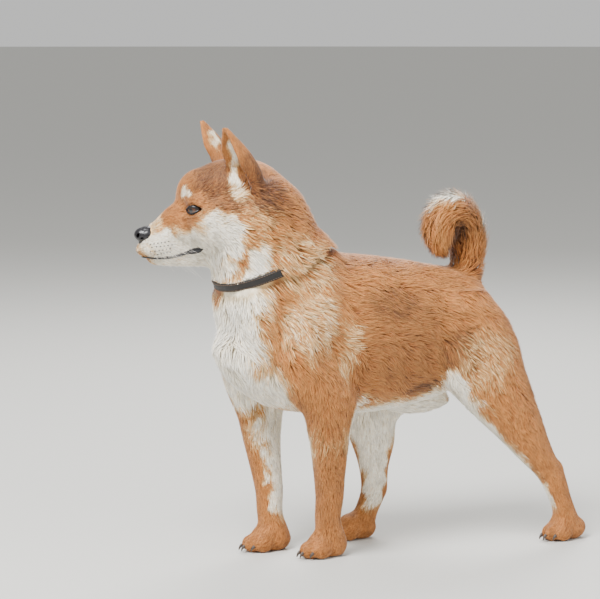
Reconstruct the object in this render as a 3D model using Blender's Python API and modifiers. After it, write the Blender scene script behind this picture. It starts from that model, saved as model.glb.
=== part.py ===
"""A shiba inu, life size, standing with one hind leg stretched back and its head turned aside.

The dog faces -Y, its left side is +X and the floor is Z = 0. Every size is in metres.
The flesh is lofted limb by limb, fused and smoothed as one body, and then parted with thin cuts.
"""

import math

import bmesh
import bpy
import numpy as np
from mathutils import Matrix, Vector, bvhtree

# The dog as a breeder would measure it, coat included.
HEAD_CENTRE = Vector((-0.030, -0.082, 0.460))
HEAD_TURN = math.radians(12)
HEAD_ROLL = math.radians(2)

# How the solids are made.
PART_GAP = 0.0003
FLOOR_LEVEL = 0.0012
VOXEL = 0.0024
BODY_TRIANGLES = 4700
RING_SIDES = 24
STEPS_PER_SPAN = 5
FINE_HEAD_REACH = 0.085
FINE_PAW_HEIGHT = 0.035
FACE_WEIGHT = 0.74
PAW_WEIGHT = 0.88
FINE_BIAS = 0.01

for leftover in list(bpy.data.objects):
    bpy.data.objects.remove(leftover)

dog = bpy.data.collections.new("shiba_inu")
cutters = bpy.data.collections.new("cutters")
for collection in (dog, cutters):
    bpy.context.scene.collection.children.link(collection)
cutters.hide_render = True


def coat(name, colour, roughness, metallic=0.0):
    """A plain finish for one kind of surface."""
    material = bpy.data.materials.new(name)
    material.use_nodes = True
    shader = material.node_tree.nodes["Principled BSDF"]
    shader.inputs["Base Color"].default_value = (*colour, 1.0)
    shader.inputs["Roughness"].default_value = roughness
    shader.inputs["Metallic"].default_value = metallic
    return material


RED_COAT = coat("red_coat", (0.56, 0.30, 0.13), 0.85)
NOSE_LEATHER = coat("nose_leather", (0.03, 0.03, 0.035), 0.4)
EYE_WET = coat("eye", (0.05, 0.025, 0.012), 0.08)
COLLAR_LEATHER = coat("collar_leather", (0.035, 0.028, 0.022), 0.6)


def add_object(name, mesh, material=None, group=dog):
    thing = bpy.data.objects.new(name, mesh)
    group.objects.link(thing)
    if material:
        mesh.materials.clear()
        mesh.materials.append(material)
    if group is cutters:
        thing.hide_render = True
        thing.display_type = "WIRE"
    return thing


def smooth_path(stations, steps=STEPS_PER_SPAN):
    """Stations joined by a Catmull-Rom curve in all their numbers, positions and radii alike."""
    rows = np.array(stations, float)
    padded = np.vstack([2 * rows[0] - rows[1], rows, 2 * rows[-1] - rows[-2]])
    found = []
    for i in range(len(rows) - 1):
        before, start, end, after = padded[i:i + 4]
        for t in np.arange(steps) / steps:
            found.append(
                0.5 * (2 * start + (end - before) * t
                       + (2 * before - 5 * start + 4 * end - after) * t ** 2
                       + (3 * start - before - 3 * end + after) * t ** 3)
            )
    found.append(rows[-1])
    return np.array(found)


def tube(stations, sides=RING_SIDES, across=(1, 0, 0), square=2.0, steps=STEPS_PER_SPAN):
    """A closed limb. A station is x, y, z, half its width along `across`, and half its other width."""
    rows = smooth_path(stations, steps)
    mesh = bmesh.new()
    rings = []
    for i, (x, y, z, half_across, half_other) in enumerate(rows):
        ahead = Vector(rows[min(i + 1, len(rows) - 1)][:3]) - Vector(rows[max(i - 1, 0)][:3])
        side = Vector(across) - ahead * (Vector(across).dot(ahead) / ahead.length_squared)
        side.normalize()
        other = ahead.normalized().cross(side)
        ring = []
        for k in range(sides):
            c, s = math.cos(math.tau * k / sides), math.sin(math.tau * k / sides)
            c = math.copysign(abs(c) ** (2 / square), c)
            s = math.copysign(abs(s) ** (2 / square), s)
            offset = side * (c * max(half_across, 1e-4)) + other * (s * max(half_other, 1e-4))
            ring.append(mesh.verts.new(Vector((x, y, z)) + offset))
        rings.append(ring)
    for low, high in zip(rings, rings[1:]):
        for k in range(sides):
            mesh.faces.new((low[k], low[(k + 1) % sides], high[(k + 1) % sides], high[k]))
    mesh.faces.new(reversed(rings[0]))
    mesh.faces.new(rings[-1])
    bmesh.ops.recalc_face_normals(mesh, faces=mesh.faces)
    return mesh


def blob(centre, radii, turn=None, sides=RING_SIDES):
    """A rounded mass, as an ellipsoid."""
    mesh = bmesh.new()
    bmesh.ops.create_uvsphere(mesh, u_segments=sides, v_segments=sides * 3 // 5, radius=1.0)
    place = Matrix.Translation(Vector(centre)) @ (turn or Matrix.Identity(4)) @ Matrix.Diagonal((*radii, 1.0))
    mesh.transform(place)
    return mesh


def mirrored(mesh):
    """The same shape on the other side of the plane X = 0."""
    twin = mesh.copy()
    bmesh.ops.scale(twin, vec=(-1, 1, 1), verts=twin.verts)
    bmesh.ops.reverse_faces(twin, faces=twin.faces)
    return twin


def joined(pieces, name):
    """Many loose closed shapes as one mesh."""
    whole = bmesh.new()
    for piece in pieces:
        step = bpy.data.meshes.new("step")
        piece.to_mesh(step)
        whole.from_mesh(step)
        bpy.data.meshes.remove(step)
        piece.free()
    mesh = bpy.data.meshes.new(name)
    whole.to_mesh(mesh)
    whole.free()
    return mesh


def apply_modifiers(thing):
    graph = bpy.context.evaluated_depsgraph_get()
    done = bpy.data.meshes.new_from_object(thing.evaluated_get(graph))
    thing.modifiers.clear()
    thing.data = done
    return thing


def boolean(thing, other, operation, solver="EXACT"):
    change = thing.modifiers.new(operation.lower(), "BOOLEAN")
    change.operation = operation
    change.solver = solver
    if isinstance(other, bpy.types.Collection):
        change.operand_type = "COLLECTION"
        change.collection = other
    else:
        change.object = other
    return apply_modifiers(thing)


# The head's own frame: X to the dog's left, -Y to the nose, Z up.
HEAD_PLACE = (
    Matrix.Translation(HEAD_CENTRE) @ Matrix.Rotation(-HEAD_TURN, 4, "Z") @ Matrix.Rotation(HEAD_ROLL, 4, "Y")
)


def torso():
    """Ribs, loin and croup in one barrel. A row is y, z of the middle, half width, half height."""
    rows = [
        (-0.101, 0.312, 0.020, 0.034), (-0.092, 0.306, 0.042, 0.060), (-0.070, 0.300, 0.059, 0.082),
        (-0.040, 0.296, 0.072, 0.097), (0.000, 0.292, 0.080, 0.1035), (0.045, 0.289, 0.083, 0.1065),
        (0.090, 0.2865, 0.082, 0.1055), (0.135, 0.2845, 0.078, 0.1010), (0.180, 0.2855, 0.072, 0.0940),
        (0.212, 0.2905, 0.067, 0.0850), (0.236, 0.2945, 0.063, 0.0750), (0.256, 0.2960, 0.056, 0.0620),
        (0.269, 0.2950, 0.042, 0.0450), (0.276, 0.2940, 0.022, 0.0230),
    ]
    return [tube([(0, y, z, wide, high) for y, z, wide, high in rows], square=2.15)]


def neck():
    """The neck and its ruff, from inside the chest up into the skull, and the bib under the throat."""
    bib = tube([
        (-0.014, -0.082, 0.420, 0.036, 0.029), (-0.010, -0.080, 0.385, 0.044, 0.032),
        (-0.004, -0.077, 0.350, 0.058, 0.036), (0.000, -0.072, 0.322, 0.064, 0.036),
        (0.000, -0.062, 0.285, 0.062, 0.034), (0.000, -0.048, 0.250, 0.054, 0.027),
    ], square=2.3)
    return [bib, tube([
        (0.000, 0.020, 0.310, 0.066, 0.070), (0.000, -0.010, 0.345, 0.070, 0.080),
        (-0.004, -0.038, 0.384, 0.064, 0.072), (-0.012, -0.054, 0.420, 0.067, 0.071),
        (-0.021, -0.064, 0.450, 0.067, 0.069), (-0.028, -0.072, 0.478, 0.056, 0.056),
    ], square=2.1)]


def foreleg(side, elbow, forearm, wrist, paw, shoulder_y):
    """One foreleg with the shoulder that carries it. The points are (distance from the middle, y, z)."""
    def at(point, half_across, half_other):
        return (side * point[0], point[1], point[2], half_across, half_other)

    shoulder = tube([
        at((0.040, 0.010, 0.365), 0.030, 0.034), at((0.048, shoulder_y + 0.028, 0.320), 0.036, 0.046),
        at((0.052, shoulder_y, 0.268), 0.035, 0.044),
        at((elbow[0] - 0.001, elbow[1] - 0.006, elbow[2] + 0.006), 0.029, 0.040),
        at((elbow[0] - 0.002, elbow[1], elbow[2] - 0.030), 0.024, 0.030),
    ])
    leg = tube([
        at((elbow[0], elbow[1], elbow[2] + 0.02), 0.024, 0.034), at(elbow, 0.0265, 0.0385),
        at((elbow[0] - 0.004, elbow[1], elbow[2] - 0.03), 0.0250, 0.0325),
        at(forearm, 0.0225, 0.0270),
        at([(a + b) / 2 for a, b in zip(forearm, wrist)], 0.0195, 0.0225),
        at(wrist, 0.0185, 0.0195), at((wrist[0] - 0.003, wrist[1] - 0.001, wrist[2] - 0.030), 0.0170, 0.0180),
        at((paw[0], paw[1] + 0.004, 0.020), 0.0180, 0.0190), at((paw[0], paw[1], 0.008), 0.016, 0.018),
    ])
    return [shoulder, leg]


def hindleg(side, rows):
    """One hind leg, hip to paw. A row is distance from the middle, y, z, half across, half fore and aft."""
    return [tube([(side * x, y, z, across, fore) for x, y, z, across, fore in rows])]


PAW_WIDTH = 0.043
TOES = ((-1.5, -0.004, 0.86), (-0.5, 0.004, 1.0), (0.5, 0.004, 1.0), (1.5, -0.004, 0.86))


def paw(x, y, turn):
    """A compact round paw: pad and four knuckled toes, pointing to -Y before it is turned."""
    toe_pitch = PAW_WIDTH / 4.3
    pieces = [
        blob((0, 0.010, 0.016), (0.0185, 0.024, 0.0175)),
        blob((0, -0.002, 0.0215), (0.0185, 0.0200, 0.0160)),
    ]
    for place, ahead, size in TOES:
        spread = Matrix.Rotation(-0.11 * place, 4, "Z")
        centre = Vector((place * toe_pitch, -0.0160 - ahead, 0.0120))
        pieces.append(blob(centre, (0.0066 * size, 0.0160 * size, 0.0122 * size), spread))
    place = Matrix.Translation((x, y, 0)) @ Matrix.Rotation(turn, 4, "Z")
    for piece in pieces:
        piece.transform(place)
    return pieces


def head_masses():
    """The skull, muzzle, cheeks and jaw in the head's own frame, where -Y is the nose."""
    muzzle = tube([
        (0, -0.122, -0.044, 0.0110, 0.0115), (0, -0.119, -0.0455, 0.0150, 0.0180),
        (0, -0.110, -0.0450, 0.0180, 0.0225), (0, -0.098, -0.0440, 0.0200, 0.0275),
        (0, -0.084, -0.0405, 0.0235, 0.0335), (0, -0.066, -0.0340, 0.0300, 0.0400),
        (0, -0.040, -0.0260, 0.0380, 0.0460),
    ], square=2.4)
    jaw = tube([
        (0, -0.112, -0.0640, 0.0085, 0.0060), (0, -0.105, -0.0655, 0.0130, 0.0090),
        (0, -0.088, -0.0665, 0.0165, 0.0100), (0, -0.066, -0.0650, 0.0205, 0.0130),
        (0, -0.040, -0.0600, 0.0270, 0.0190), (0, -0.010, -0.0520, 0.0330, 0.0260),
    ])
    masses = [
        muzzle, jaw,
        blob((0, 0.004, 0.0130), (0.0560, 0.0700, 0.0490)),
        blob((0, -0.041, 0.0120), (0.0400, 0.0345, 0.0380)),
        blob((0, 0.022, 0.0000), (0.0580, 0.0500, 0.0560)),
    ]
    for mass in (
        blob((0.0250, -0.0530, 0.0080), (0.0200, 0.0170, 0.0130)),
        blob((0.0300, -0.0220, -0.0180), (0.0370, 0.0500, 0.0400)),
        blob((0.0400, 0.0080, -0.0320), (0.0350, 0.0380, 0.0420)),
        blob((0.0200, -0.0620, -0.0260), (0.0185, 0.0260, 0.0200)),
        blob((0.0130, -0.1020, -0.0520), (0.0095, 0.0170, 0.0110)),
    ):
        masses += [mass, mirrored(mass)]
    return masses


# The left ear in the head's frame, foot to tip along three lines: its inner rim, its outer rim and its back.
EAR_INNER_RIM = (
    (0.025, -0.012, 0.012), (0.030, -0.0175, 0.037), (0.0435, -0.0280, 0.073), (0.0562, -0.0305, 0.1040),
)
EAR_OUTER_RIM = (
    (0.063, 0.009, 0.000), (0.0665, -0.0010, 0.034), (0.0675, -0.0150, 0.071), (0.0600, -0.0290, 0.1035),
)
EAR_BACK = (
    (0.044, 0.033, 0.008), (0.0490, 0.0250, 0.036), (0.0560, 0.0060, 0.070), (0.0585, -0.0260, 0.1035),
)
EAR_THICK = 0.0036
EAR_ROWS, EAR_COLUMNS = 9, 8


def ear():
    """The left ear as a cupped leaf between its rims and its back."""
    rims = [smooth_path(line, EAR_ROWS // 3) for line in (EAR_INNER_RIM, EAR_OUTER_RIM, EAR_BACK)]
    mesh = bmesh.new()
    grid = []
    for inner, outer, back in zip(*rims):
        middle, across, behind = (inner + outer) / 2, (outer - inner) / 2, back - (inner + outer) / 2
        row = []
        for k in range(EAR_COLUMNS + 1):
            angle = math.pi * (k / EAR_COLUMNS - 0.5)
            row.append(mesh.verts.new(middle + across * math.sin(angle) + behind * math.cos(angle)))
        grid.append(row)
    for low, high in zip(grid, grid[1:]):
        for k in range(EAR_COLUMNS):
            mesh.faces.new((low[k], low[k + 1], high[k + 1], high[k]))
    bmesh.ops.remove_doubles(mesh, verts=mesh.verts, dist=2e-4)
    bmesh.ops.recalc_face_normals(mesh, faces=mesh.faces)
    sheet = bpy.data.meshes.new("ear_leaf")
    mesh.to_mesh(sheet)
    mesh.free()
    leaf = add_object("ear_leaf", sheet, group=cutters)
    thick = leaf.modifiers.new("thick", "SOLIDIFY")
    thick.thickness = EAR_THICK
    thick.offset = 0.0
    apply_modifiers(leaf)
    mesh = bmesh.new()
    mesh.from_mesh(leaf.data)
    bpy.data.objects.remove(leaf)
    return mesh


FORELEG_LEFT = dict(
    side=1, elbow=(0.060, 0.012, 0.210), forearm=(0.052, 0.015, 0.150), wrist=(0.043, 0.020, 0.078),
    paw=(0.036, 0.025), shoulder_y=-0.030,
)
FORELEG_RIGHT = dict(
    side=-1, elbow=(0.059, -0.030, 0.210), forearm=(0.051, -0.030, 0.150), wrist=(0.041, -0.024, 0.078),
    paw=(0.034, -0.022), shoulder_y=-0.046,
)
# A row is distance from the middle, y, z, half the width across, and half the width fore and aft.
HINDLEG_LEFT = [
    (0.034, 0.219, 0.335, 0.034, 0.044), (0.045, 0.222, 0.300, 0.042, 0.058),
    (0.056, 0.238, 0.255, 0.042, 0.063),
    (0.067, 0.259, 0.212, 0.037, 0.051), (0.078, 0.287, 0.165, 0.029, 0.0365),
    (0.086, 0.307, 0.130, 0.0225, 0.0265),
    (0.092, 0.327, 0.100, 0.0170, 0.0190), (0.095, 0.338, 0.080, 0.0160, 0.0180),
    (0.0955, 0.348, 0.055, 0.0150, 0.0158),
    (0.096, 0.357, 0.030, 0.0160, 0.0170), (0.096, 0.362, 0.012, 0.0160, 0.0180),
]
HINDLEG_RIGHT = [
    (0.034, 0.222, 0.335, 0.034, 0.044), (0.046, 0.216, 0.300, 0.042, 0.058),
    (0.055, 0.196, 0.250, 0.042, 0.064),
    (0.062, 0.162, 0.205, 0.036, 0.055), (0.060, 0.142, 0.165, 0.029, 0.0400),
    (0.053, 0.142, 0.128, 0.0225, 0.0325),
    (0.048, 0.140, 0.095, 0.0172, 0.0220), (0.0455, 0.139, 0.066, 0.0158, 0.0190),
    (0.043, 0.128, 0.042, 0.0155, 0.0165),
    (0.041, 0.118, 0.024, 0.0165, 0.0170), (0.041, 0.112, 0.012, 0.0160, 0.0170),
]
HEELS = (
    ((0.0945, 0.345, 0.094), (0.0100, 0.0080, 0.0170)), ((-0.0455, 0.152, 0.066), (0.0095, 0.0085, 0.0150)),
)
PAWS = {
    "forepaw_left": (0.036, 0.016, 0.05), "forepaw_right": (-0.034, -0.031, -0.05),
    "hindpaw_left": (0.096, 0.354, 0.08), "hindpaw_right": (-0.041, 0.104, -0.06),
}


def flesh():
    """Everything that grows under the coat, as loose overlapping shapes."""
    pieces = torso() + neck() + foreleg(**FORELEG_LEFT) + foreleg(**FORELEG_RIGHT)
    pieces += hindleg(1, HINDLEG_LEFT) + hindleg(-1, HINDLEG_RIGHT)
    pieces += [blob(centre, radii) for centre, radii in HEELS]
    for x, y, turn in PAWS.values():
        pieces += paw(x, y, turn)
    for side in (1, -1):
        pieces.append(blob((side * 0.034, 0.245, 0.290), (0.030, 0.034, 0.050)))
    pieces.append(blob((0, 0.182, 0.187), (0.015, 0.042, 0.0210)))
    head = head_masses()
    for piece in head:
        piece.transform(HEAD_PLACE)
    return pieces + head


def fused_body():
    """The loose shapes as one smooth skin, with more triangles on the head and the paws than on the trunk."""
    body = add_object("body", joined(flesh(), "body"), RED_COAT)
    remesh = body.modifiers.new("fuse", "REMESH")
    remesh.mode = "VOXEL"
    remesh.voxel_size = VOXEL
    ease = body.modifiers.new("ease", "SMOOTH")
    ease.factor = 0.5
    ease.iterations = 5
    apply_modifiers(body)
    group = body.vertex_groups.new(name="coarse")
    head_front = HEAD_PLACE @ Vector((0, -0.06, -0.02))
    for vertex in body.data.vertices:
        if (vertex.co - head_front).length < FINE_HEAD_REACH:
            weight = FACE_WEIGHT
        elif vertex.co.z < FINE_PAW_HEIGHT:
            weight = PAW_WEIGHT
        else:
            weight = 1.0
        group.add([vertex.index], weight, "REPLACE")
    soften = body.modifiers.new("soften", "SMOOTH")
    soften.factor = 0.5
    soften.iterations = 50
    soften.vertex_group = group.name
    thin = body.modifiers.new("thin", "DECIMATE")
    thin.ratio = BODY_TRIANGLES / (2 * len(body.data.polygons))
    thin.vertex_group = group.name
    thin.vertex_group_factor = FINE_BIAS
    apply_modifiers(body)
    return body


def islands(mesh):
    """The closed surfaces in a mesh, each as its own mesh, largest first."""
    whole = bmesh.new()
    whole.from_mesh(mesh)
    whole.verts.ensure_lookup_table()
    group_of = [-1] * len(whole.verts)
    count = 0
    for start in whole.verts:
        if group_of[start.index] >= 0:
            continue
        waiting = [start]
        group_of[start.index] = count
        while waiting:
            for edge in waiting.pop().link_edges:
                for vertex in edge.verts:
                    if group_of[vertex.index] < 0:
                        group_of[vertex.index] = count
                        waiting.append(vertex)
        count += 1
    found = []
    for wanted in range(count):
        piece = whole.copy()
        piece.verts.ensure_lookup_table()
        bmesh.ops.delete(piece, geom=[v for v in piece.verts if group_of[v.index] != wanted], context="VERTS")
        volume = piece.calc_volume()
        result = bpy.data.meshes.new(mesh.name)
        piece.to_mesh(result)
        piece.free()
        found.append((volume, result))
    whole.free()
    return [result for _, result in sorted(found, key=lambda pair: -pair[0])]


def encloses(mesh, point):
    tree = bvhtree.BVHTree.FromPolygons([v.co for v in mesh.vertices], [p.vertices for p in mesh.polygons])
    start, heading, hits = Vector(point), Vector((0.123, 0.217, 0.968)), 0
    while True:
        place, _, _, _ = tree.ray_cast(start, heading)
        if place is None:
            return hits % 2 == 1
        hits += 1
        start = place + heading * 1e-5


def plate(name, corner, normal, along, out_reach, reach_behind, reach_ahead):
    """A thin straight saw cut. It starts at `corner` and runs outwards, and both ways along its own edge."""
    normal, along = Vector(normal).normalized(), Vector(along).normalized()
    along = (along - normal * along.dot(normal)).normalized()
    outward = along.cross(normal)
    mesh = bmesh.new()
    bmesh.ops.create_cube(mesh, size=1.0)
    length = reach_behind + reach_ahead
    middle = Vector(corner) + outward * (out_reach / 2) + along * ((reach_ahead - reach_behind) / 2)
    turn = Matrix((outward, along, normal)).transposed().to_4x4()
    mesh.transform(Matrix.Translation(middle) @ turn @ Matrix.Diagonal((out_reach, length, PART_GAP, 1)))
    data = bpy.data.meshes.new(name)
    mesh.to_mesh(data)
    mesh.free()
    return add_object(name, data, group=cutters)


# Where each paw is sawn off its leg: a point in the wrist or the metatarsus, and the way the leg runs there.
PAW_CUTS = {
    "forepaw_left": ((0.037, 0.021, 0.046), (0, 0.05, 1)),
    "forepaw_right": ((-0.035, -0.025, 0.046), (0, -0.03, 1)),
    "hindpaw_left": ((0.096, 0.353, 0.044), (0, -0.36, 1)),
    "hindpaw_right": ((-0.042, 0.127, 0.040), (0, 0.50, 1)),
}
PAW_CUT_REACH = 0.036


def saw_cuts():
    for name, (point, axis) in PAW_CUTS.items():
        corner = Vector(point) - Vector((PAW_CUT_REACH, 0, 0))
        ahead = Vector(axis).cross((1, 0, 0))
        plate("cut_" + name, corner, axis, ahead, 2 * PAW_CUT_REACH, PAW_CUT_REACH, PAW_CUT_REACH)
    head_turn = HEAD_PLACE.to_3x3()
    throat = HEAD_PLACE @ Vector((-0.130, 0.0075, -0.025))
    back_up, front_up = head_turn @ Vector((0, 0.6, 0.8)), head_turn @ Vector((0, -0.8, 0.6))
    plate("cut_head", throat, front_up, back_up, 0.26, 0.13, 0.13)
    plate("cut_neck", (-0.13, -0.040, 0.368), (0, -0.410, 0.912), (0, 0.912, 0.410), 0.26, 0.12, 0.12)
    plate("cut_foreleg_left", (0.022, 0.000, 0.160), (-0.766, 0, 0.643), (0, 1, 0), 0.13, 0.08, 0.09)
    plate("cut_foreleg_right", (-0.022, -0.036, 0.160), (0.766, 0, 0.643), (0, -1, 0), 0.13, 0.08, 0.09)
    plate(
        "cut_hindleg_left", (0.005, 0.240, 0.205), (-0.527, -0.554, 0.643), (0, 0.757, 0.653),
        0.13, 0.10, 0.14,
    )
    plate(
        "cut_hindleg_right", (-0.005, 0.200, 0.180), (0.678, -0.374, 0.633), (0, -0.861, -0.509),
        0.14, 0.14, 0.13,
    )


INSIDE = {
    "head": HEAD_CENTRE, "neck": (-0.01, -0.045, 0.41), "torso": (0, 0.06, 0.29),
    "foreleg_left": (0.052, 0.014, 0.15), "foreleg_right": (-0.051, -0.03, 0.15),
    "hindleg_left": (0.078, 0.282, 0.165), "hindleg_right": (-0.06, 0.142, 0.165),
    **{name: (x, y, 0.02) for name, (x, y, _) in PAWS.items()},
}


def part_body(body):
    """Parts the fused body with the saw cuts and names each piece by a point inside it."""
    saw_cuts()
    boolean(body, cutters, "DIFFERENCE")
    pieces = islands(body.data)
    bpy.data.objects.remove(body)
    made = {}
    for name, point in INSIDE.items():
        piece = next(piece for piece in pieces if encloses(piece, point))
        made[name] = add_object(name, piece, RED_COAT)
        piece.name = name
    for saw in list(cutters.objects):
        bpy.data.objects.remove(saw)
    return made


def grown(node, by):
    """A helper copy of a node with every face moved outwards, for a cut that leaves a gap."""
    copy = add_object(node.name + "_grown", node.data.copy(), group=cutters)
    swell = copy.modifiers.new("swell", "DISPLACE")
    swell.strength = by
    swell.mid_level = 0.0
    return apply_modifiers(copy)


def keep_largest(node):
    largest, finish = islands(node.data)[0], list(node.data.materials)
    for material in finish:
        largest.materials.append(material)
    largest.name = node.name
    node.data = largest
    return node


def cut_clear(node, other, gap=PART_GAP, solver="EXACT"):
    """Trims a node so that it keeps a gap to its neighbour."""
    swollen = grown(other, gap)
    boolean(node, swollen, "DIFFERENCE", solver)
    bpy.data.objects.remove(swollen)
    return keep_largest(node)


def from_bmesh(name, mesh, material):
    data = bpy.data.meshes.new(name)
    mesh.to_mesh(data)
    mesh.free()
    return add_object(name, data, material)


def remeshed(node, voxel, rounds, triangles):
    """Overlapping shapes made one smooth body of about so many triangles."""
    fuse = node.modifiers.new("fuse", "REMESH")
    fuse.mode = "VOXEL"
    fuse.voxel_size = voxel
    ease = node.modifiers.new("ease", "SMOOTH")
    ease.factor = 0.5
    ease.iterations = rounds
    apply_modifiers(node)
    thin = node.modifiers.new("thin", "DECIMATE")
    thin.ratio = min(1.0, triangles / (2 * len(node.data.polygons)))
    return apply_modifiers(node)


# A lock of the coat, root to tip: how far along it, and its width there as a share of its widest.
LOCK_SHAPE = ((-0.30, 0.60), (0.18, 1.00), (0.62, 0.78), (1.00, 0.05))
SHORT_LOCK_SHAPE = ((-0.20, 0.60), (0.35, 1.00), (1.00, 0.05))
LOCK_FLATNESS = 0.30
LOCK_SINK = 0.0025
LOCK_GAP = 0.00025
LOCK_SEED = 11


def lock(root, lie, out, length, wide, lift, droop, shape=LOCK_SHAPE):
    """A flat tapered lock, rooted under the surface, that rises by `lift` and bends back by `droop`."""
    lie, out = Vector(lie).normalized(), Vector(out).normalized()
    stations = []
    for along, share in shape:
        rise = length * (lift * along - droop * along * abs(along))
        place = Vector(root) + lie * (length * along) + out * rise
        stations.append((*place, wide / 2 * share, wide / 2 * LOCK_FLATNESS * share))
    return tube(stations, sides=4, across=lie.cross(out), steps=1)


def skin_tree(node):
    faces = [p.vertices for p in node.data.polygons]
    return bvhtree.BVHTree.FromPolygons([v.co for v in node.data.vertices], faces)


def locks_on(node, places, comb, length, wide, lift, droop, seed=LOCK_SEED):
    """Locks where rays meet the node: a place is a ray's start and heading, and `comb` gives the lie."""
    tree, chance = skin_tree(node), np.random.default_rng(seed)
    made = []
    for start, heading in places:
        root, normal, _, _ = tree.ray_cast(Vector(start), Vector(heading).normalized())
        if root is None:
            continue
        lie = Vector(comb(root))
        lie -= normal * lie.dot(normal)
        sway = lie.cross(normal) * chance.uniform(-0.16, 0.16)
        made.append(lock(
            root - normal * LOCK_SINK, lie + sway, normal,
            length * chance.uniform(0.88, 1.12), wide * chance.uniform(0.92, 1.1),
            lift, droop, SHORT_LOCK_SHAPE,
        ))
    return made


def fuse_locks(node, locks):
    """Joins the locks to their node in one union, as one closed body."""
    for piece in locks:
        data = bpy.data.meshes.new("lock")
        piece.to_mesh(data)
        piece.free()
        add_object("lock", data, group=cutters)
    boolean(node, cutters, "UNION", "MANIFOLD")
    for piece in list(cutters.objects):
        bpy.data.objects.remove(piece)
    return keep_largest(node)


# The tail curls up from the croup, over and forward, and its tip turns down on the left of the back.
TAIL_ROWS = [
    (0.000, 0.243, 0.322, 0.018, 0.018), (0.000, 0.254, 0.350, 0.023, 0.023),
    (0.000, 0.258, 0.385, 0.027, 0.025),
    (0.000, 0.254, 0.416, 0.030, 0.027), (0.001, 0.242, 0.437, 0.032, 0.029),
    (0.004, 0.225, 0.440, 0.031, 0.029),
    (0.008, 0.210, 0.427, 0.027, 0.026), (0.011, 0.205, 0.407, 0.020, 0.020),
    (0.012, 0.212, 0.388, 0.010, 0.011),
]
TAIL_TRIANGLES = 460
TAIL_CORE = 0.56
TAIL_ROOT_CORE = 1.0
TAIL_LOCK_ROWS, TAIL_LOCKS_ROUND = 8, 5


def tail_locks():
    """The brush, as rings of locks that lean towards the tip and reach the outline of the coat."""
    rows = smooth_path(TAIL_ROWS)
    places = np.linspace(0.03, 0.93, TAIL_LOCK_ROWS) * (len(rows) - 1)
    chance = np.random.default_rng(LOCK_SEED)
    made = []
    for ring, place in enumerate(places):
        row, after = rows[int(place)], rows[min(int(place) + 2, len(rows) - 1)]
        ahead = Vector(after[:3] - row[:3]).normalized()
        reach = row[3]
        for k in range(TAIL_LOCKS_ROUND):
            angle = math.tau * (k + 0.5 * (ring % 2) + chance.uniform(-0.12, 0.12)) / TAIL_LOCKS_ROUND
            side = Vector((1, 0, 0))
            out = side * math.cos(angle) + ahead.cross(side) * math.sin(angle)
            root = Vector(row[:3]) + out * (reach * TAIL_CORE)
            length = reach * 1.30 * chance.uniform(0.86, 1.06)
            made.append(lock(root, ahead, out, length, reach * 1.02, 0.50, 0.17))
    return made


def tail(torso_node):
    """The brush of the tail, trimmed to the back and parted behind the hollow of its curl."""
    shares = [TAIL_ROOT_CORE] + [TAIL_CORE] * (len(TAIL_ROWS) - 1)
    core = [(*row[:3], row[3] * share, row[4] * share) for row, share in zip(TAIL_ROWS, shares)]
    brush = from_bmesh("tail", tube(core), RED_COAT)
    remeshed(brush, VOXEL, 2, TAIL_TRIANGLES)
    fuse_locks(brush, tail_locks())
    cut_clear(brush, torso_node)
    plate("cut_tail", (-0.06, 0.234, 0.42), (0, -1, 0), (0, 0, 1), 0.12, 0.12, 0.12)
    boolean(brush, cutters, "DIFFERENCE")
    pieces = islands(brush.data)
    bpy.data.objects.remove(brush)
    for saw in list(cutters.objects):
        bpy.data.objects.remove(saw)
    made = {}
    for name, point in (("tail_base", (0, 0.254, 0.41)), ("tail_curl", (0.006, 0.22, 0.43))):
        piece = next(piece for piece in pieces if encloses(piece, point))
        piece.name = name
        made[name] = add_object(name, piece, RED_COAT)
    return made


# The ruff: how far down the neck a ring of locks is rooted, as places on the neck's own middle line.
RUFF_TOP, RUFF_FOOT = Vector((-0.022, -0.066, 0.452)), Vector((-0.008, -0.047, 0.396))
RUFF_LOCKS = 12
NAPE_DROP = -0.32
CHEEK_PLACES = ((0.002, -0.016), (-0.008, -0.033), (-0.020, -0.048), (-0.038, -0.058), (-0.020, -0.022))
BIB_ROWS = (0.322, 0.297, 0.272, 0.247)
BIB_COLUMNS = (-0.047, -0.018, 0.012, 0.041)
# The breeches, as height and distance from the dog's middle plane at the back of the thigh.
RUMP_PLACES = ((0.312, 0.030), (0.292, 0.050), (0.280, 0.026), (0.262, 0.044))
THIGH_PLACES = {
    "hindleg_left": ((0.232, 0.052), (0.226, 0.074), (0.204, 0.062),
    (0.196, 0.080), (0.172, 0.076), (0.150, 0.084)),
    "hindleg_right": ((0.226, -0.050), (0.218, -0.070), (0.196, -0.058), (0.178, -0.066), (0.156, -0.058)),
}


def grow_ruff(neck_node):
    """Locks that hang from under the skull down to the collar, all round the neck."""
    down, places = (RUFF_FOOT - RUFF_TOP).normalized(), []
    for k in range(RUFF_LOCKS):
        angle = math.tau * (k + 0.5) / RUFF_LOCKS
        side = Vector((1, 0, 0))
        heading = side * math.cos(angle) + down.cross(side) * math.sin(angle)
        drops = [0.35 + 0.20 * (k % 2)] + [NAPE_DROP] * (heading.y > 0.25)
        places += [(RUFF_TOP.lerp(RUFF_FOOT, drop) + heading * 0.2, -heading) for drop in drops]
    fuse_locks(neck_node, locks_on(neck_node, places, lambda root: down, 0.032, 0.024, 0.24, 0.02))


def grow_cheeks(head_node):
    """The pointed whiskers of the cheeks, which sweep back and down from the jaw."""
    turn, locks = HEAD_PLACE.to_3x3(), []
    for side in (1, -1):
        inward = turn @ Vector((-side, 0, 0))
        places = [(HEAD_PLACE @ Vector((side * 0.2, y, z)), inward) for y, z in CHEEK_PLACES]
        comb = turn @ Vector((side * 0.1, 0.85, -0.5))
        locks += locks_on(head_node, places, lambda root: comb, 0.026, 0.018, 0.20, 0.02, LOCK_SEED + side)
    fuse_locks(head_node, locks)


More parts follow.
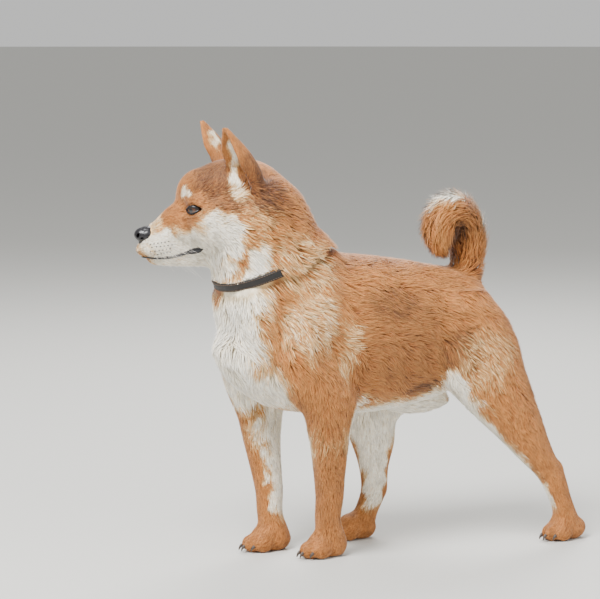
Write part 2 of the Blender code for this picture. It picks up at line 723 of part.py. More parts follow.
def grow_bib_and_breeches(nodes):
    """Locks down the front of the chest, and down the back of the rump and thighs."""
    places = [
        ((x + 0.012 * (row % 2), -0.3, z), (0, 1, 0)) for row, z in enumerate(BIB_ROWS) for x in BIB_COLUMNS
    ]
    locks = locks_on(nodes["torso"], places, lambda root: (-0.1 * root.x, 0.18, -1), 0.036, 0.028, 0.13, 0.0)
    places = [((side * x, 0.5, z), (0, -1, 0)) for side in (1, -1) for z, x in RUMP_PLACES]
    locks += locks_on(
        nodes["torso"], places, lambda root: (0, 0.35, -1), 0.030, 0.022, 0.22, 0.0, LOCK_SEED + 2,
    )
    fuse_locks(nodes["torso"], locks)
    for name, spots in THIGH_PLACES.items():
        places = [((x, 0.5, z), (0, -1, 0)) for z, x in spots]
        locks = locks_on(
            nodes[name], places, lambda root: (0, 0.25, -1), 0.034, 0.020, 0.24, 0.0, LOCK_SEED + 3,
        )
        fuse_locks(nodes[name], locks)
    for name in (*THIGH_PLACES, "neck"):
        cut_clear(nodes["torso"], nodes[name], LOCK_GAP, "MANIFOLD")


EYE_CENTRE = Vector((0.0285, -0.0570, -0.0010))
EYE_RADIUS = 0.0105
EYE_TURN = math.radians(44)
EYE_SLANT = math.radians(8)
EYE_OPENING = (0.0185, 0.0105)
NOSE_VOXEL = 0.0012
NOSE_TRIANGLES = 300
NOSTRIL_SIDES = 8
NOSTRIL_TURN, NOSTRIL_SLANT = math.radians(38), math.radians(20)


LID_RADIUS = 0.0013
LID_STATIONS = 12


def loop(points, radius, sides=4):
    """A closed ring of round section through the points."""
    mesh, rings = bmesh.new(), []
    for k, point in enumerate(points):
        ahead = (points[(k + 1) % len(points)] - points[k - 1]).normalized()
        side = ahead.orthogonal().normalized() if k == 0 else (side - ahead * side.dot(ahead)).normalized()
        other = ahead.cross(side)
        rings.append([
            mesh.verts.new(point + (side * math.cos(turn) + other * math.sin(turn)) * radius)
            for turn in (math.tau * j / sides for j in range(sides))
        ])
    for k, ring in enumerate(rings):
        after = rings[(k + 1) % len(rings)]
        for j in range(sides):
            mesh.faces.new((ring[j], ring[(j + 1) % sides], after[(j + 1) % sides], after[j]))
    bmesh.ops.recalc_face_normals(mesh, faces=mesh.faces)
    return mesh


def eye_frame(side):
    """An eye's own frame: X along the opening, Z up, -Y out of the head."""
    turn = Matrix.Rotation(side * EYE_TURN, 4, "Z") @ Matrix.Rotation(-side * EYE_SLANT, 4, "Y")
    return HEAD_PLACE @ Matrix.Translation((side * EYE_CENTRE.x, EYE_CENTRE.y, EYE_CENTRE.z)) @ turn


def lids(head_node):
    """A raised rim round each almond opening."""
    tree, rims = skin_tree(head_node), []
    wide, high = EYE_OPENING
    for side in (1, -1):
        frame, points = eye_frame(side), []
        for k in range(LID_STATIONS):
            c, s = math.cos(math.tau * k / LID_STATIONS), math.sin(math.tau * k / LID_STATIONS)
            x, z = (wide / 2 + 0.0012) * c, (high / 2 + 0.0010) * s * (1 - 0.35 * c * c)
            inward = frame.to_3x3() @ Vector((0, 1, 0))
            place, normal, _, _ = tree.ray_cast(frame @ Vector((x, -0.05, z)), inward)
            points.append(place)
        rims.append(loop(points, LID_RADIUS))
    fuse_locks(head_node, rims)


# The line of the lips on the left, corner to front, in the head's frame.
MOUTH_LINE = (
    (0.0320, -0.0570, -0.0560), (0.0300, -0.0640, -0.0575),
    (0.0270, -0.0725, -0.0610), (0.0240, -0.0820, -0.0635),
    (0.0205, -0.0950, -0.0655), (0.0165, -0.1070, -0.0658),
    (0.0095, -0.1160, -0.0642), (0.0000, -0.1200, -0.0630),
)
LIP_RADIUS, LIP_OFFSET, LIP_SUNK = 0.0019, 0.0021, 0.0006
MOUTH_GROOVE = 0.0013


def mouth(head_node):
    """Two lips as rolls along the mouth line, and the closed line between them as a fine groove."""
    tree, up = skin_tree(head_node), HEAD_PLACE.to_3x3() @ Vector((0, 0, 1))
    line = list(MOUTH_LINE) + [(-x, y, z) for x, y, z in reversed(MOUTH_LINE[:-1])]
    found = [tree.find_nearest(HEAD_PLACE @ Vector(point))[:2] for point in line]

    def roll(offset, outward, radius, sides):
        stations = [(*(place + up * offset + normal * outward), radius, radius) for place, normal in found]
        return tube(stations, sides=sides, across=up, steps=1)

    fuse_locks(head_node, [roll(offset, -LIP_SUNK, LIP_RADIUS, 5) for offset in (LIP_OFFSET, -LIP_OFFSET)])
    data = bpy.data.meshes.new("mouth_groove")
    groove = roll(0, 0.0003, MOUTH_GROOVE, 4)
    groove.to_mesh(data)
    groove.free()
    cutter = add_object("mouth_groove", data, group=cutters)
    boolean(head_node, cutter, "DIFFERENCE")
    bpy.data.objects.remove(cutter)
    keep_largest(head_node)


def eyes(head_node):
    """Each eyeball is a ball in a socket, behind an almond opening between the lids."""
    made = {}
    for name, side in (("eye_left", 1), ("eye_right", -1)):
        centre = Vector((side * EYE_CENTRE.x, EYE_CENTRE.y, EYE_CENTRE.z))
        for cut_name, radius, group in ((name, EYE_RADIUS, dog), ("socket", EYE_RADIUS + PART_GAP, cutters)):
            ball = bmesh.new()
            bmesh.ops.create_uvsphere(ball, u_segments=14, v_segments=8, radius=radius)
            ball.transform(HEAD_PLACE @ Matrix.Translation(centre))
            data = bpy.data.meshes.new(cut_name)
            ball.to_mesh(data)
            ball.free()
            thing = add_object(cut_name, data, EYE_WET if group is dog else None, group)
            if group is dog:
                made[name] = thing
        opening = bmesh.new()
        bmesh.ops.create_cone(opening, segments=14, radius1=0.5, radius2=0.62, depth=0.016, cap_ends=True)
        wide, high = EYE_OPENING
        for vertex in opening.verts:
            vertex.co.x *= wide
            vertex.co.y *= high * (1 - 0.35 * abs(2 * vertex.co.x / wide) ** 2)
        outward = Matrix.Rotation(math.pi / 2, 4, "X")
        opening.transform(eye_frame(side) @ Matrix.Translation((0, -0.0125, 0)) @ outward)
        data = bpy.data.meshes.new("opening")
        opening.to_mesh(data)
        opening.free()
        add_object("opening", data, group=cutters)
    boolean(head_node, cutters, "DIFFERENCE")
    for cutter in list(cutters.objects):
        bpy.data.objects.remove(cutter)
    keep_largest(head_node)
    return made


def nose(head_node):
    """The nose leather, a rounded block on the end of the muzzle with two nostrils."""
    shapes = [
        blob((0, -0.1180, -0.0350), (0.0115, 0.0125, 0.0098)),
        blob((0, -0.1120, -0.0295), (0.0105, 0.0120, 0.0058)),
        blob((0, -0.1170, -0.0430), (0.0060, 0.0080, 0.0070)),
    ]
    shapes += [blob((side * 0.0078, -0.1135, -0.0352), (0.0062, 0.0095, 0.0080)) for side in (1, -1)]
    leather = joined(shapes, "nose")
    leather.transform(HEAD_PLACE)
    node = add_object("nose", leather, NOSE_LEATHER)
    remeshed(node, NOSE_VOXEL, 3, NOSE_TRIANGLES)
    cut_clear(node, head_node)
    for side in (1, -1):
        slot = Matrix.Rotation(side * NOSTRIL_TURN, 4, "Z") @ Matrix.Rotation(side * NOSTRIL_SLANT, 4, "Y")
        hole = blob((0, 0, 0), (0.0022, 0.0075, 0.0030), slot, NOSTRIL_SIDES)
        hole.transform(HEAD_PLACE @ Matrix.Translation((side * 0.0070, -0.1275, -0.0350)))
        data = bpy.data.meshes.new("nostril")
        hole.to_mesh(data)
        hole.free()
        add_object("nostril", data, group=cutters)
    boolean(node, cutters, "DIFFERENCE")
    for cutter in list(cutters.objects):
        bpy.data.objects.remove(cutter)
    return keep_largest(node)


def ears(head_node):
    made = {}
    left = ear()
    right = mirrored(left)
    for name, leaf in (("ear_left", left), ("ear_right", right)):
        leaf.transform(HEAD_PLACE)
        made[name] = cut_clear(from_bmesh(name, leaf, RED_COAT), head_node)
    return made


COLLAR_MIDDLE = Vector((-0.006, -0.043, 0.386))
COLLAR_RISE = math.radians(21.5)
COLLAR_WIDTH = 0.011
COLLAR_THICK = 0.0030
COLLAR_STATIONS = 28


def collar_ring_path(neck_node):
    """Points and outward headings round the neck, on the collar's slanting plane."""
    tree = skin_tree(neck_node)
    slant = Matrix.Rotation(COLLAR_RISE, 3, "X")
    headings, reaches = [], []
    for k in range(COLLAR_STATIONS):
        angle = math.tau * k / COLLAR_STATIONS
        heading = slant @ Vector((math.sin(angle), -math.cos(angle), 0))
        place, _, _, _ = tree.ray_cast(COLLAR_MIDDLE + heading * 0.2, -heading)
        headings.append(heading)
        reaches.append((place - COLLAR_MIDDLE).length)
    for _ in range(6):
        after = reaches[1:] + reaches[:1]
        reaches = [(reaches[k - 1] + 2 * reaches[k] + after[k]) / 4 for k in range(len(reaches))]
    return headings, reaches, slant @ Vector((0, 0, 1))


def strap(name, headings, reaches, up, wide, thick, inner_share, material, group):
    """A band round the neck, whose inner face is `inner_share` of its width to each side of the middle."""
    mesh = bmesh.new()
    rings = []
    for heading, reach in zip(headings, reaches):
        edge = inner_share * wide
        corners = ((-thick, -edge), (0, -0.5 * wide), (0, 0.5 * wide), (-thick, edge))
        rings.append([mesh.verts.new(COLLAR_MIDDLE + heading * (reach + r) + up * h) for r, h in corners])
    for k, ring in enumerate(rings):
        after = rings[(k + 1) % len(rings)]
        for j in range(4):
            mesh.faces.new((ring[j], after[j], after[(j + 1) % 4], ring[(j + 1) % 4]))
    bmesh.ops.recalc_face_normals(mesh, faces=mesh.faces)
    data = bpy.data.meshes.new(name)
    mesh.to_mesh(data)
    mesh.free()
    return add_object(name, data, material, group)


def collar(neck_node):
    """A plain leather strap sunk in the ruff, in a groove of its own."""
    headings, reaches, up = collar_ring_path(neck_node)
    reaches = [reach + 0.0006 for reach in reaches]
    ring = strap("collar", headings, reaches, up, COLLAR_WIDTH, COLLAR_THICK, 0.42, COLLAR_LEATHER, dog)
    wider = [reach + 0.02 for reach in reaches]
    groove = strap(
        "groove", headings, wider, up, COLLAR_WIDTH + 2 * PART_GAP, COLLAR_THICK + 0.02 + PART_GAP, 0.5,
        None, cutters,
    )
    boolean(neck_node, groove, "DIFFERENCE")
    bpy.data.objects.remove(groove)
    keep_largest(neck_node)
    return ring


SHARP_EDGE = math.radians(50)
CLAW_LENGTH, CLAW_RADIUS = 0.0085, 0.0021
CLAW_DROOP = math.radians(24)


def finish_paw(node, x, y, turn):
    """Fuses the four claws to a paw and gives it a flat sole at the level of the floor."""
    place = Matrix.Translation((x, y, 0)) @ Matrix.Rotation(turn, 4, "Z")
    for spot, ahead, size in TOES:
        spread = Matrix.Rotation(-0.11 * spot, 4, "Z")
        claw = bmesh.new()
        bmesh.ops.create_cone(
            claw, segments=6, radius1=CLAW_RADIUS, radius2=0.0003, depth=CLAW_LENGTH, cap_ends=True
        )
        toe = Vector((spot * PAW_WIDTH / 4.3, -0.0160 - ahead, 0.0120))
        tip = toe + spread @ Vector((0, -0.0160 * size, 0.0005))
        down = Matrix.Rotation(CLAW_DROOP + math.pi / 2, 4, "X")
        claw.transform(place @ Matrix.Translation(tip) @ spread @ down)
        from_bmesh("claw", claw, None).name = "claw"
    claws = [thing for thing in dog.objects if thing.name.startswith("claw")]
    for claw in claws:
        dog.objects.unlink(claw)
        cutters.objects.link(claw)
    boolean(node, cutters, "UNION")
    for claw in claws:
        bpy.data.objects.remove(claw)
    floor = bmesh.new()
    bmesh.ops.create_cube(floor, size=1.0)
    floor.transform(Matrix.Translation((x, y, FLOOR_LEVEL - 0.05)) @ Matrix.Diagonal((0.2, 0.2, 0.1, 1)))
    data = bpy.data.meshes.new("floor")
    floor.to_mesh(data)
    floor.free()
    slab = add_object("floor", data, group=cutters)
    boolean(node, slab, "DIFFERENCE")
    bpy.data.objects.remove(slab)
    keep_largest(node)


def stand_at_origin(nodes):
    """Moves the dog so that the middle of its footprint on the floor is the origin."""
    corners = np.array([vertex.co for node in nodes.values() for vertex in node.data.vertices])
    low, high = corners.min(axis=0), corners.max(axis=0)
    shift = Matrix.Translation((-(low[0] + high[0]) / 2, -(low[1] + high[1]) / 2, -low[2]))
    for node in nodes.values():
        node.data.transform(shift)
        node.data.shade_smooth()
        node.data.set_sharp_from_angle(angle=SHARP_EDGE)


nodes = part_body(fused_body())
nodes.update(tail(nodes["torso"]))
mouth(nodes["head"])
lids(nodes["head"])
nodes.update(eyes(nodes["head"]))
nodes["nose"] = nose(nodes["head"])
nodes.update(ears(nodes["head"]))
grow_cheeks(nodes["head"])
grow_ruff(nodes["neck"])
cut_clear(nodes["neck"], nodes["head"], LOCK_GAP, "MANIFOLD")
for name in ("ear_left", "ear_right"):
    cut_clear(nodes[name], nodes["neck"], PART_GAP, "MANIFOLD")
nodes["collar"] = collar(nodes["neck"])
grow_bib_and_breeches(nodes)
for name, (x, y, turn) in PAWS.items():
    finish_paw(nodes[name], x, y, turn)
stand_at_origin(nodes)
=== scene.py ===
"""The looks of a life-size shiba inu that stands with one hind leg stretched back and its head turned aside.

Sizes are in metres. The dog's own frame is the one it was measured in: it faces -Y, its left side is +X.
"""

import math

import bmesh
import bpy
import numpy as np
from mathutils import Matrix, Vector, bvhtree, kdtree


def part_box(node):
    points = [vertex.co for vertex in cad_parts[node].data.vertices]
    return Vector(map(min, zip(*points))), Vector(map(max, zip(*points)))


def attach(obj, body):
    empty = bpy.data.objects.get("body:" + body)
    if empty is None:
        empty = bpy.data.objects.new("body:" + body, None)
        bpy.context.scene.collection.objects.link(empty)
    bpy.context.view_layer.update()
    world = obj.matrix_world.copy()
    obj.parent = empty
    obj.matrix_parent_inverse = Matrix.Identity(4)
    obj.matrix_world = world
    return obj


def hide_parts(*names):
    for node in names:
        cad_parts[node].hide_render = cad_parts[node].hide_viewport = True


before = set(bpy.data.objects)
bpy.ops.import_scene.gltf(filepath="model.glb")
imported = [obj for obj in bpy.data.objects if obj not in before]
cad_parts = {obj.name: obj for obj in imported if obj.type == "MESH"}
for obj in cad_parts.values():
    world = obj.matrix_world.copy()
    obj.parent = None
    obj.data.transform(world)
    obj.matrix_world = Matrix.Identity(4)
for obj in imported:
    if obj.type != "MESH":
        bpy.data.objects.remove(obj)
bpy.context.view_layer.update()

# The outline of the coat.
# The real dog is one body under one hide, so its limbs are lofted on their own middle lines, from the
# breeder's measures, and fused into one closed surface that the tips of the coat reach.
HEAD_HOME = Vector((-0.030, -0.082, 0.460))
HEAD_TURN, HEAD_ROLL = math.radians(12), math.radians(2)
HEAD_PLACE = (
    Matrix.Translation(HEAD_HOME) @ Matrix.Rotation(-HEAD_TURN, 4, "Z") @ Matrix.Rotation(HEAD_ROLL, 4, "Y")
)
EYE_HOME = Vector((0.0285, -0.0570, -0.0010))
eye_low, eye_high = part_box("eye_left")
IN_FRAME = Matrix.Translation((eye_low + eye_high) / 2 - HEAD_PLACE @ EYE_HOME)


def smooth_path(stations, steps=6):
    """Stations joined by a Catmull-Rom curve in all their numbers, positions and radii alike."""
    rows = np.array(stations, float)
    padded = np.vstack([2 * rows[0] - rows[1], rows, 2 * rows[-1] - rows[-2]])
    found = []
    for before, start, end, after in zip(padded, padded[1:], padded[2:], padded[3:]):
        for t in np.arange(steps) / steps:
            found.append(
                0.5 * (2 * start + (end - before) * t + (2 * before - 5 * start + 4 * end - after) * t ** 2
                       + (3 * start - before - 3 * end + after) * t ** 3)
            )
    return np.array(found + [rows[-1]])


def unit(rows):
    return rows / np.maximum(np.linalg.norm(rows, axis=-1, keepdims=True), 1e-9)


def tube(stations, across=(1, 0, 0), square=2.0, sides=26, steps=6, ring=False):
    """A loft along stations of x, y, z, half its width along `across` and half its other width."""
    rows = np.array(stations, float) if steps == 1 else smooth_path(stations, steps)
    if ring:
        ahead = unit(np.roll(rows, -1, 0)[:, :3] - np.roll(rows, 1, 0)[:, :3])
    else:
        ahead = unit(np.gradient(rows[:, :3], axis=0))
    side = unit(np.array(across) - ahead * (ahead @ np.array(across, float))[:, None])
    other = np.cross(ahead, side)
    turn = math.tau * np.arange(sides) / sides
    c, s = np.cos(turn), np.sin(turn)
    c, s = np.copysign(np.abs(c) ** (2 / square), c), np.copysign(np.abs(s) ** (2 / square), s)
    points = (rows[:, None, :3] + side[:, None] * (c * np.maximum(rows[:, 3:4], 1e-4))[..., None]
              + other[:, None] * (s * np.maximum(rows[:, 4:5], 1e-4))[..., None])
    count, faces = len(rows), []
    for i in range(count if ring else count - 1):
        low, high = i * sides, (i + 1) % count * sides
        faces += [(low + k, low + (k + 1) % sides, high + (k + 1) % sides, high + k) for k in range(sides)]
    if not ring:
        faces += [tuple(range(sides))[::-1], tuple(range((count - 1) * sides, count * sides))]
    return points.reshape(-1, 3), faces


def blob(centre, radii, turn=Matrix.Identity(3)):
    """A rounded mass: an ellipsoid with its radii along its own turned axes."""
    rings = np.cos(np.linspace(math.pi - 0.05, 0.05, 14))
    points, faces = tube([(0, 0, t, math.sqrt(1 - t * t), math.sqrt(1 - t * t)) for t in rings], steps=1)
    return (points * np.array(radii)) @ np.array(turn).T + np.array(centre), faces


def moved(shape, matrix):
    points, faces = shape
    turn = np.array(matrix)
    faces = [face[::-1] for face in faces] if np.linalg.det(turn[:3, :3]) < 0 else faces
    return points @ turn[:3, :3].T + turn[:3, 3], faces


MIRROR = Matrix.Diagonal((-1, 1, 1, 1))


def mesh_of(name, shapes):
    """Closed shapes, gathered in one mesh with its faces turned out."""
    points, faces, count = [], [], 0
    for some_points, some_faces in shapes:
        points.append(some_points)
        faces += [tuple(i + count for i in face) for face in some_faces]
        count += len(some_points)
    data = bpy.data.meshes.new(name)
    data.from_pydata(np.vstack(points).tolist(), [], faces)
    tidy = bmesh.new()
    tidy.from_mesh(data)
    bmesh.ops.recalc_face_normals(tidy, faces=tidy.faces)
    tidy.to_mesh(data)
    tidy.free()
    return data


def changed(data, *steps):
    """The mesh after modifiers, each given as its type and its settings."""
    thing = bpy.data.objects.new(data.name, data)
    bpy.context.scene.collection.objects.link(thing)
    for kind, settings in steps:
        modifier = thing.modifiers.new(kind.lower(), kind)
        for key, value in settings.items():
            setattr(modifier, key, value)
    bpy.context.view_layer.update()
    result = bpy.data.meshes.new_from_object(thing.evaluated_get(bpy.context.evaluated_depsgraph_get()))
    result.name = data.name
    bpy.data.objects.remove(thing)
    return result


# The stations of each loft are x, y, z, half its width and half its depth.
TORSO = [
    (0, y, z, wide, high) for y, z, wide, high in (
        (-0.101, 0.312, 0.020, 0.034), (-0.092, 0.306, 0.042, 0.060), (-0.070, 0.300, 0.059, 0.082),
        (-0.040, 0.296, 0.072, 0.097), (0.000, 0.292, 0.080, 0.1035), (0.045, 0.289, 0.083, 0.1065),
        (0.090, 0.2865, 0.082, 0.1055), (0.135, 0.2845, 0.078, 0.1010), (0.180, 0.2855, 0.072, 0.0940),
        (0.212, 0.2905, 0.067, 0.0850), (0.236, 0.2945, 0.063, 0.0750), (0.256, 0.2960, 0.056, 0.0620),
        (0.269, 0.2950, 0.042, 0.0450), (0.276, 0.2940, 0.022, 0.0230),
    )
]
BIB = [
    (-0.014, -0.082, 0.420, 0.038, 0.032), (-0.010, -0.080, 0.385, 0.046, 0.036),
    (-0.004, -0.077, 0.350, 0.060, 0.040), (0.000, -0.072, 0.322, 0.066, 0.040),
    (0.000, -0.062, 0.285, 0.064, 0.038), (0.000, -0.048, 0.250, 0.056, 0.030),
]
NECK = [
    (0.000, 0.020, 0.310, 0.066, 0.070), (0.000, -0.010, 0.345, 0.070, 0.080),
    (-0.004, -0.038, 0.384, 0.067, 0.075), (-0.012, -0.054, 0.420, 0.070, 0.075),
    (-0.021, -0.064, 0.450, 0.070, 0.072), (-0.028, -0.072, 0.478, 0.058, 0.058),
]
FORELEG_LEFT = dict(
    elbow=(0.060, 0.012, 0.210), forearm=(0.052, 0.015, 0.150), wrist=(0.043, 0.020, 0.078),
    foot=(0.036, 0.025), shoulder_y=-0.030,
)
FORELEG_RIGHT = dict(
    elbow=(-0.059, -0.030, 0.210), forearm=(-0.051, -0.030, 0.150), wrist=(-0.041, -0.024, 0.078),
    foot=(-0.034, -0.022), shoulder_y=-0.046,
)
HINDLEG_LEFT = [
    (0.034, 0.219, 0.335, 0.034, 0.044), (0.045, 0.222, 0.300, 0.042, 0.058),
    (0.056, 0.238, 0.255, 0.042, 0.063), (0.067, 0.259, 0.212, 0.037, 0.051),
    (0.078, 0.287, 0.165, 0.029, 0.0365), (0.086, 0.307, 0.130, 0.0225, 0.0265),
    (0.092, 0.327, 0.100, 0.0170, 0.0190), (0.095, 0.338, 0.080, 0.0160, 0.0180),
    (0.0955, 0.348, 0.055, 0.0150, 0.0158), (0.096, 0.357, 0.030, 0.0160, 0.0170),
    (0.096, 0.362, 0.012, 0.016, 0.018),
]
HINDLEG_RIGHT = [
    (-0.034, 0.222, 0.335, 0.034, 0.044), (-0.046, 0.216, 0.300, 0.042, 0.058),
    (-0.055, 0.196, 0.250, 0.042, 0.064), (-0.062, 0.162, 0.205, 0.036, 0.055),
    (-0.060, 0.142, 0.165, 0.029, 0.0400), (-0.053, 0.142, 0.128, 0.0225, 0.0325),
    (-0.048, 0.140, 0.095, 0.0172, 0.0220), (-0.0455, 0.139, 0.066, 0.0158, 0.0190),
    (-0.043, 0.128, 0.042, 0.0155, 0.0165), (-0.041, 0.118, 0.024, 0.0165, 0.0170),
    (-0.041, 0.112, 0.012, 0.016, 0.017),
]
TAIL = [
    (0.000, 0.243, 0.322, 0.018, 0.018), (0.000, 0.254, 0.350, 0.023, 0.023),
    (0.000, 0.258, 0.385, 0.027, 0.025), (0.000, 0.254, 0.416, 0.030, 0.027),
    (0.001, 0.242, 0.437, 0.032, 0.029), (0.004, 0.225, 0.440, 0.031, 0.029),
    (0.008, 0.210, 0.427, 0.027, 0.026), (0.011, 0.205, 0.407, 0.020, 0.020),
    (0.012, 0.212, 0.388, 0.010, 0.011),
]
PAWS = {
    "forepaw_left": (0.036, 0.016, 0.05), "forepaw_right": (-0.034, -0.031, -0.05),
    "hindpaw_left": (0.096, 0.354, 0.08), "hindpaw_right": (-0.041, 0.104, -0.06),
}
# A toe: its place across the paw in toe widths, how far it stands ahead, and its size.
TOES = ((-1.5, -0.004, 0.86), (-0.5, 0.004, 1.0), (0.5, 0.004, 1.0), (1.5, -0.004, 0.86))
TOE_PITCH, TOE_FAN = 0.0100, 0.11


def foreleg(elbow, forearm, wrist, foot, shoulder_y):
    """The middle line of a foreleg with its shoulder, as two lofts."""
    out = math.copysign(1, elbow[0])
    middle = [(a + b) / 2 for a, b in zip(forearm, wrist)]
    shoulder = [
        (out * 0.040, 0.010, 0.365, 0.030, 0.034), (out * 0.048, shoulder_y + 0.028, 0.320, 0.036, 0.046),
        (out * 0.052, shoulder_y, 0.268, 0.035, 0.044),
        (elbow[0] - out * 0.001, elbow[1] - 0.006, elbow[2] + 0.006, 0.029, 0.040),
        (elbow[0] - out * 0.002, elbow[1], elbow[2] - 0.030, 0.024, 0.030),
    ]
    leg = [
        (elbow[0], elbow[1], elbow[2] + 0.02, 0.024, 0.034), (*elbow, 0.0265, 0.0385),
        (elbow[0] - out * 0.004, elbow[1], elbow[2] - 0.03, 0.0250, 0.0325), (*forearm, 0.0225, 0.0270),
        (*middle, 0.0195, 0.0225), (*wrist, 0.0185, 0.0195),
        (wrist[0] - out * 0.003, wrist[1] - 0.001, wrist[2] - 0.030, 0.0170, 0.0180),
        (foot[0], foot[1] + 0.004, 0.020, 0.0180, 0.0190), (*foot, 0.008, 0.016, 0.018),
    ]
    return shoulder, leg


def paw(x, y, turn):
    """A compact round paw of a pad and four knuckled toes."""
    place = Matrix.Translation((x, y, 0)) @ Matrix.Rotation(turn, 4, "Z")
    shapes = [
        blob((0, 0.010, 0.016), (0.0185, 0.024, 0.0175)),
        blob((0, -0.002, 0.0215), (0.0185, 0.0200, 0.0160)),
    ]
    for spot, ahead, size in TOES:
        shapes.append(blob(
            (spot * TOE_PITCH, -0.0160 - ahead, 0.0120), (0.0058 * size, 0.0160 * size, 0.0126 * size),
            Matrix.Rotation(-TOE_FAN * spot, 3, "Z"),
        ))
    return [moved(shape, place) for shape in shapes]


def head():
    """The skull, muzzle, cheeks and jaw."""
    shapes = [
        tube([
            (0, -0.122, -0.044, 0.0110, 0.0115), (0, -0.119, -0.0455, 0.0150, 0.0180),
            (0, -0.110, -0.0450, 0.0180, 0.0225), (0, -0.098, -0.0440, 0.0200, 0.0275),
            (0, -0.084, -0.0405, 0.0235, 0.0335), (0, -0.066, -0.0340, 0.0300, 0.0400),
            (0, -0.040, -0.0260, 0.0380, 0.0460),
        ], square=2.4),
        tube([
            (0, -0.112, -0.0640, 0.0085, 0.0060), (0, -0.105, -0.0655, 0.0130, 0.0090),
            (0, -0.088, -0.0665, 0.0165, 0.0100), (0, -0.066, -0.0650, 0.0205, 0.0130),
            (0, -0.040, -0.0600, 0.0270, 0.0190), (0, -0.010, -0.0520, 0.0330, 0.0260),
        ]),
        blob((0, 0.004, 0.0130), (0.0560, 0.0700, 0.0490)),
        blob((0, -0.041, 0.0120), (0.0400, 0.0345, 0.0380)),
        blob((0, 0.022, 0.0000), (0.0580, 0.0500, 0.0560)),
    ]
    for centre, radii in (
        ((0.0250, -0.0530, 0.0080), (0.0200, 0.0170, 0.0130)),
        ((0.0300, -0.0220, -0.0180), (0.0370, 0.0500, 0.0400)),
        ((0.0400, 0.0080, -0.0320), (0.0350, 0.0380, 0.0420)),
        ((0.0200, -0.0620, -0.0260), (0.0185, 0.0260, 0.0200)),
        ((0.0130, -0.1020, -0.0520), (0.0095, 0.0170, 0.0110)),
    ):
        shapes += [blob(centre, radii), moved(blob(centre, radii), MIRROR)]
    return [moved(shape, HEAD_PLACE) for shape in shapes]


# The left ear in the head's frame, foot to tip along three lines: its inner rim, its outer rim and its back.
EAR_INNER_RIM = (
    (0.025, -0.012, 0.012), (0.030, -0.0175, 0.037), (0.0435, -0.0280, 0.073), (0.0565, -0.0305, 0.1055),
)
EAR_OUTER_RIM = (
    (0.063, 0.009, 0.000), (0.0665, -0.0010, 0.034), (0.0675, -0.0150, 0.071), (0.0598, -0.0290, 0.1050),
)
EAR_BACK = (
    (0.044, 0.033, 0.008), (0.0490, 0.0250, 0.036), (0.0560, 0.0060, 0.070), (0.0585, -0.0260, 0.1050),
)
EAR_THICK = 0.0046
EAR_ROWS, EAR_COLUMNS = 18, 16


def ear():
    """The left ear, a cupped leaf between its rims and its back."""
    lines = [smooth_path(line, EAR_ROWS // 3) for line in (EAR_INNER_RIM, EAR_OUTER_RIM, EAR_BACK)]
    angles = math.pi * (np.arange(EAR_COLUMNS + 1) / EAR_COLUMNS - 0.5)
    points = []
    for inner, outer, back in zip(*lines):
        middle = (inner + outer) / 2
        points += [middle + (outer - middle) * math.sin(a) + (back - middle) * math.cos(a) for a in angles]
    row = EAR_COLUMNS + 1
    faces = [
        (i * row + k, i * row + k + 1, (i + 1) * row + k + 1, (i + 1) * row + k)
        for i in range(len(lines[0]) - 1) for k in range(EAR_COLUMNS)
    ]
    leaf = mesh_of("ear_leaf", [(np.array(points), faces)])
    leaf = changed(leaf, ("SOLIDIFY", dict(thickness=EAR_THICK, offset=0.0)))
    return np.array([v.co for v in leaf.vertices]), [tuple(p.vertices) for p in leaf.polygons]


shoulder_left, leg_left = foreleg(**FORELEG_LEFT)
shoulder_right, leg_right = foreleg(**FORELEG_RIGHT)
ear_left = ear()
body_shapes = [tube(TORSO, square=2.15), tube(BIB, square=2.3), tube(NECK, square=2.1), tube(TAIL)]
limbs = (shoulder_left, leg_left, shoulder_right, leg_right, HINDLEG_LEFT, HINDLEG_RIGHT)
body_shapes += [tube(line) for line in limbs]
# The hocks, the thighs and the ridge of the belly.
body_shapes += [
    blob((0.0945, 0.345, 0.094), (0.0100, 0.0080, 0.0170)),
    blob((-0.0455, 0.152, 0.066), (0.0095, 0.0085, 0.0150)),
    blob((0.034, 0.245, 0.290), (0.030, 0.034, 0.050)),
    blob((-0.034, 0.245, 0.290), (0.030, 0.034, 0.050)), blob((0, 0.178, 0.190), (0.017, 0.055, 0.0190)),
]
for x, y, turn in PAWS.values():
    body_shapes += paw(x, y, turn)
body_shapes += head() + [moved(ear_left, HEAD_PLACE), moved(ear_left, HEAD_PLACE @ MIRROR)]
OUTLINE_GRAIN = 0.0019
outline = changed(
    mesh_of("outline", body_shapes), ("REMESH", dict(mode="VOXEL", voxel_size=OUTLINE_GRAIN)),
    ("SMOOTH", dict(factor=0.5, iterations=8)),
)
surface = np.array([v.co for v in outline.vertices])
TO_HEAD = np.array(HEAD_PLACE.inverted())


def in_head(points):
    return points @ TO_HEAD[:3, :3].T + TO_HEAD[:3, 3]


def soft_step(value, low, high):
    share = np.clip((value - low) / (high - low), 0, 1)
    return share * share * (3 - 2 * share)


def near_line(points, line):
    """How far points are from a path, in the path's own radii, and the number of the nearest station."""
    rows = smooth_path(line)
    away = np.linalg.norm(points[:, None] - rows[None, :, :3], axis=2) / rows[None, :, 3]
    nearest = away.argmin(1)
    return away[np.arange(len(points)), nearest], nearest


def ear_share(points):
    """1 on the free leaf of either ear, 0 on the skull."""
    local = in_head(points)
    foot = 0.050 - 0.35 * np.clip(local[:, 1], -0.05, 0.06) - 0.30 * (np.abs(local[:, 0]) - 0.045)
    return soft_step(local[:, 2], foot, foot + 0.012)


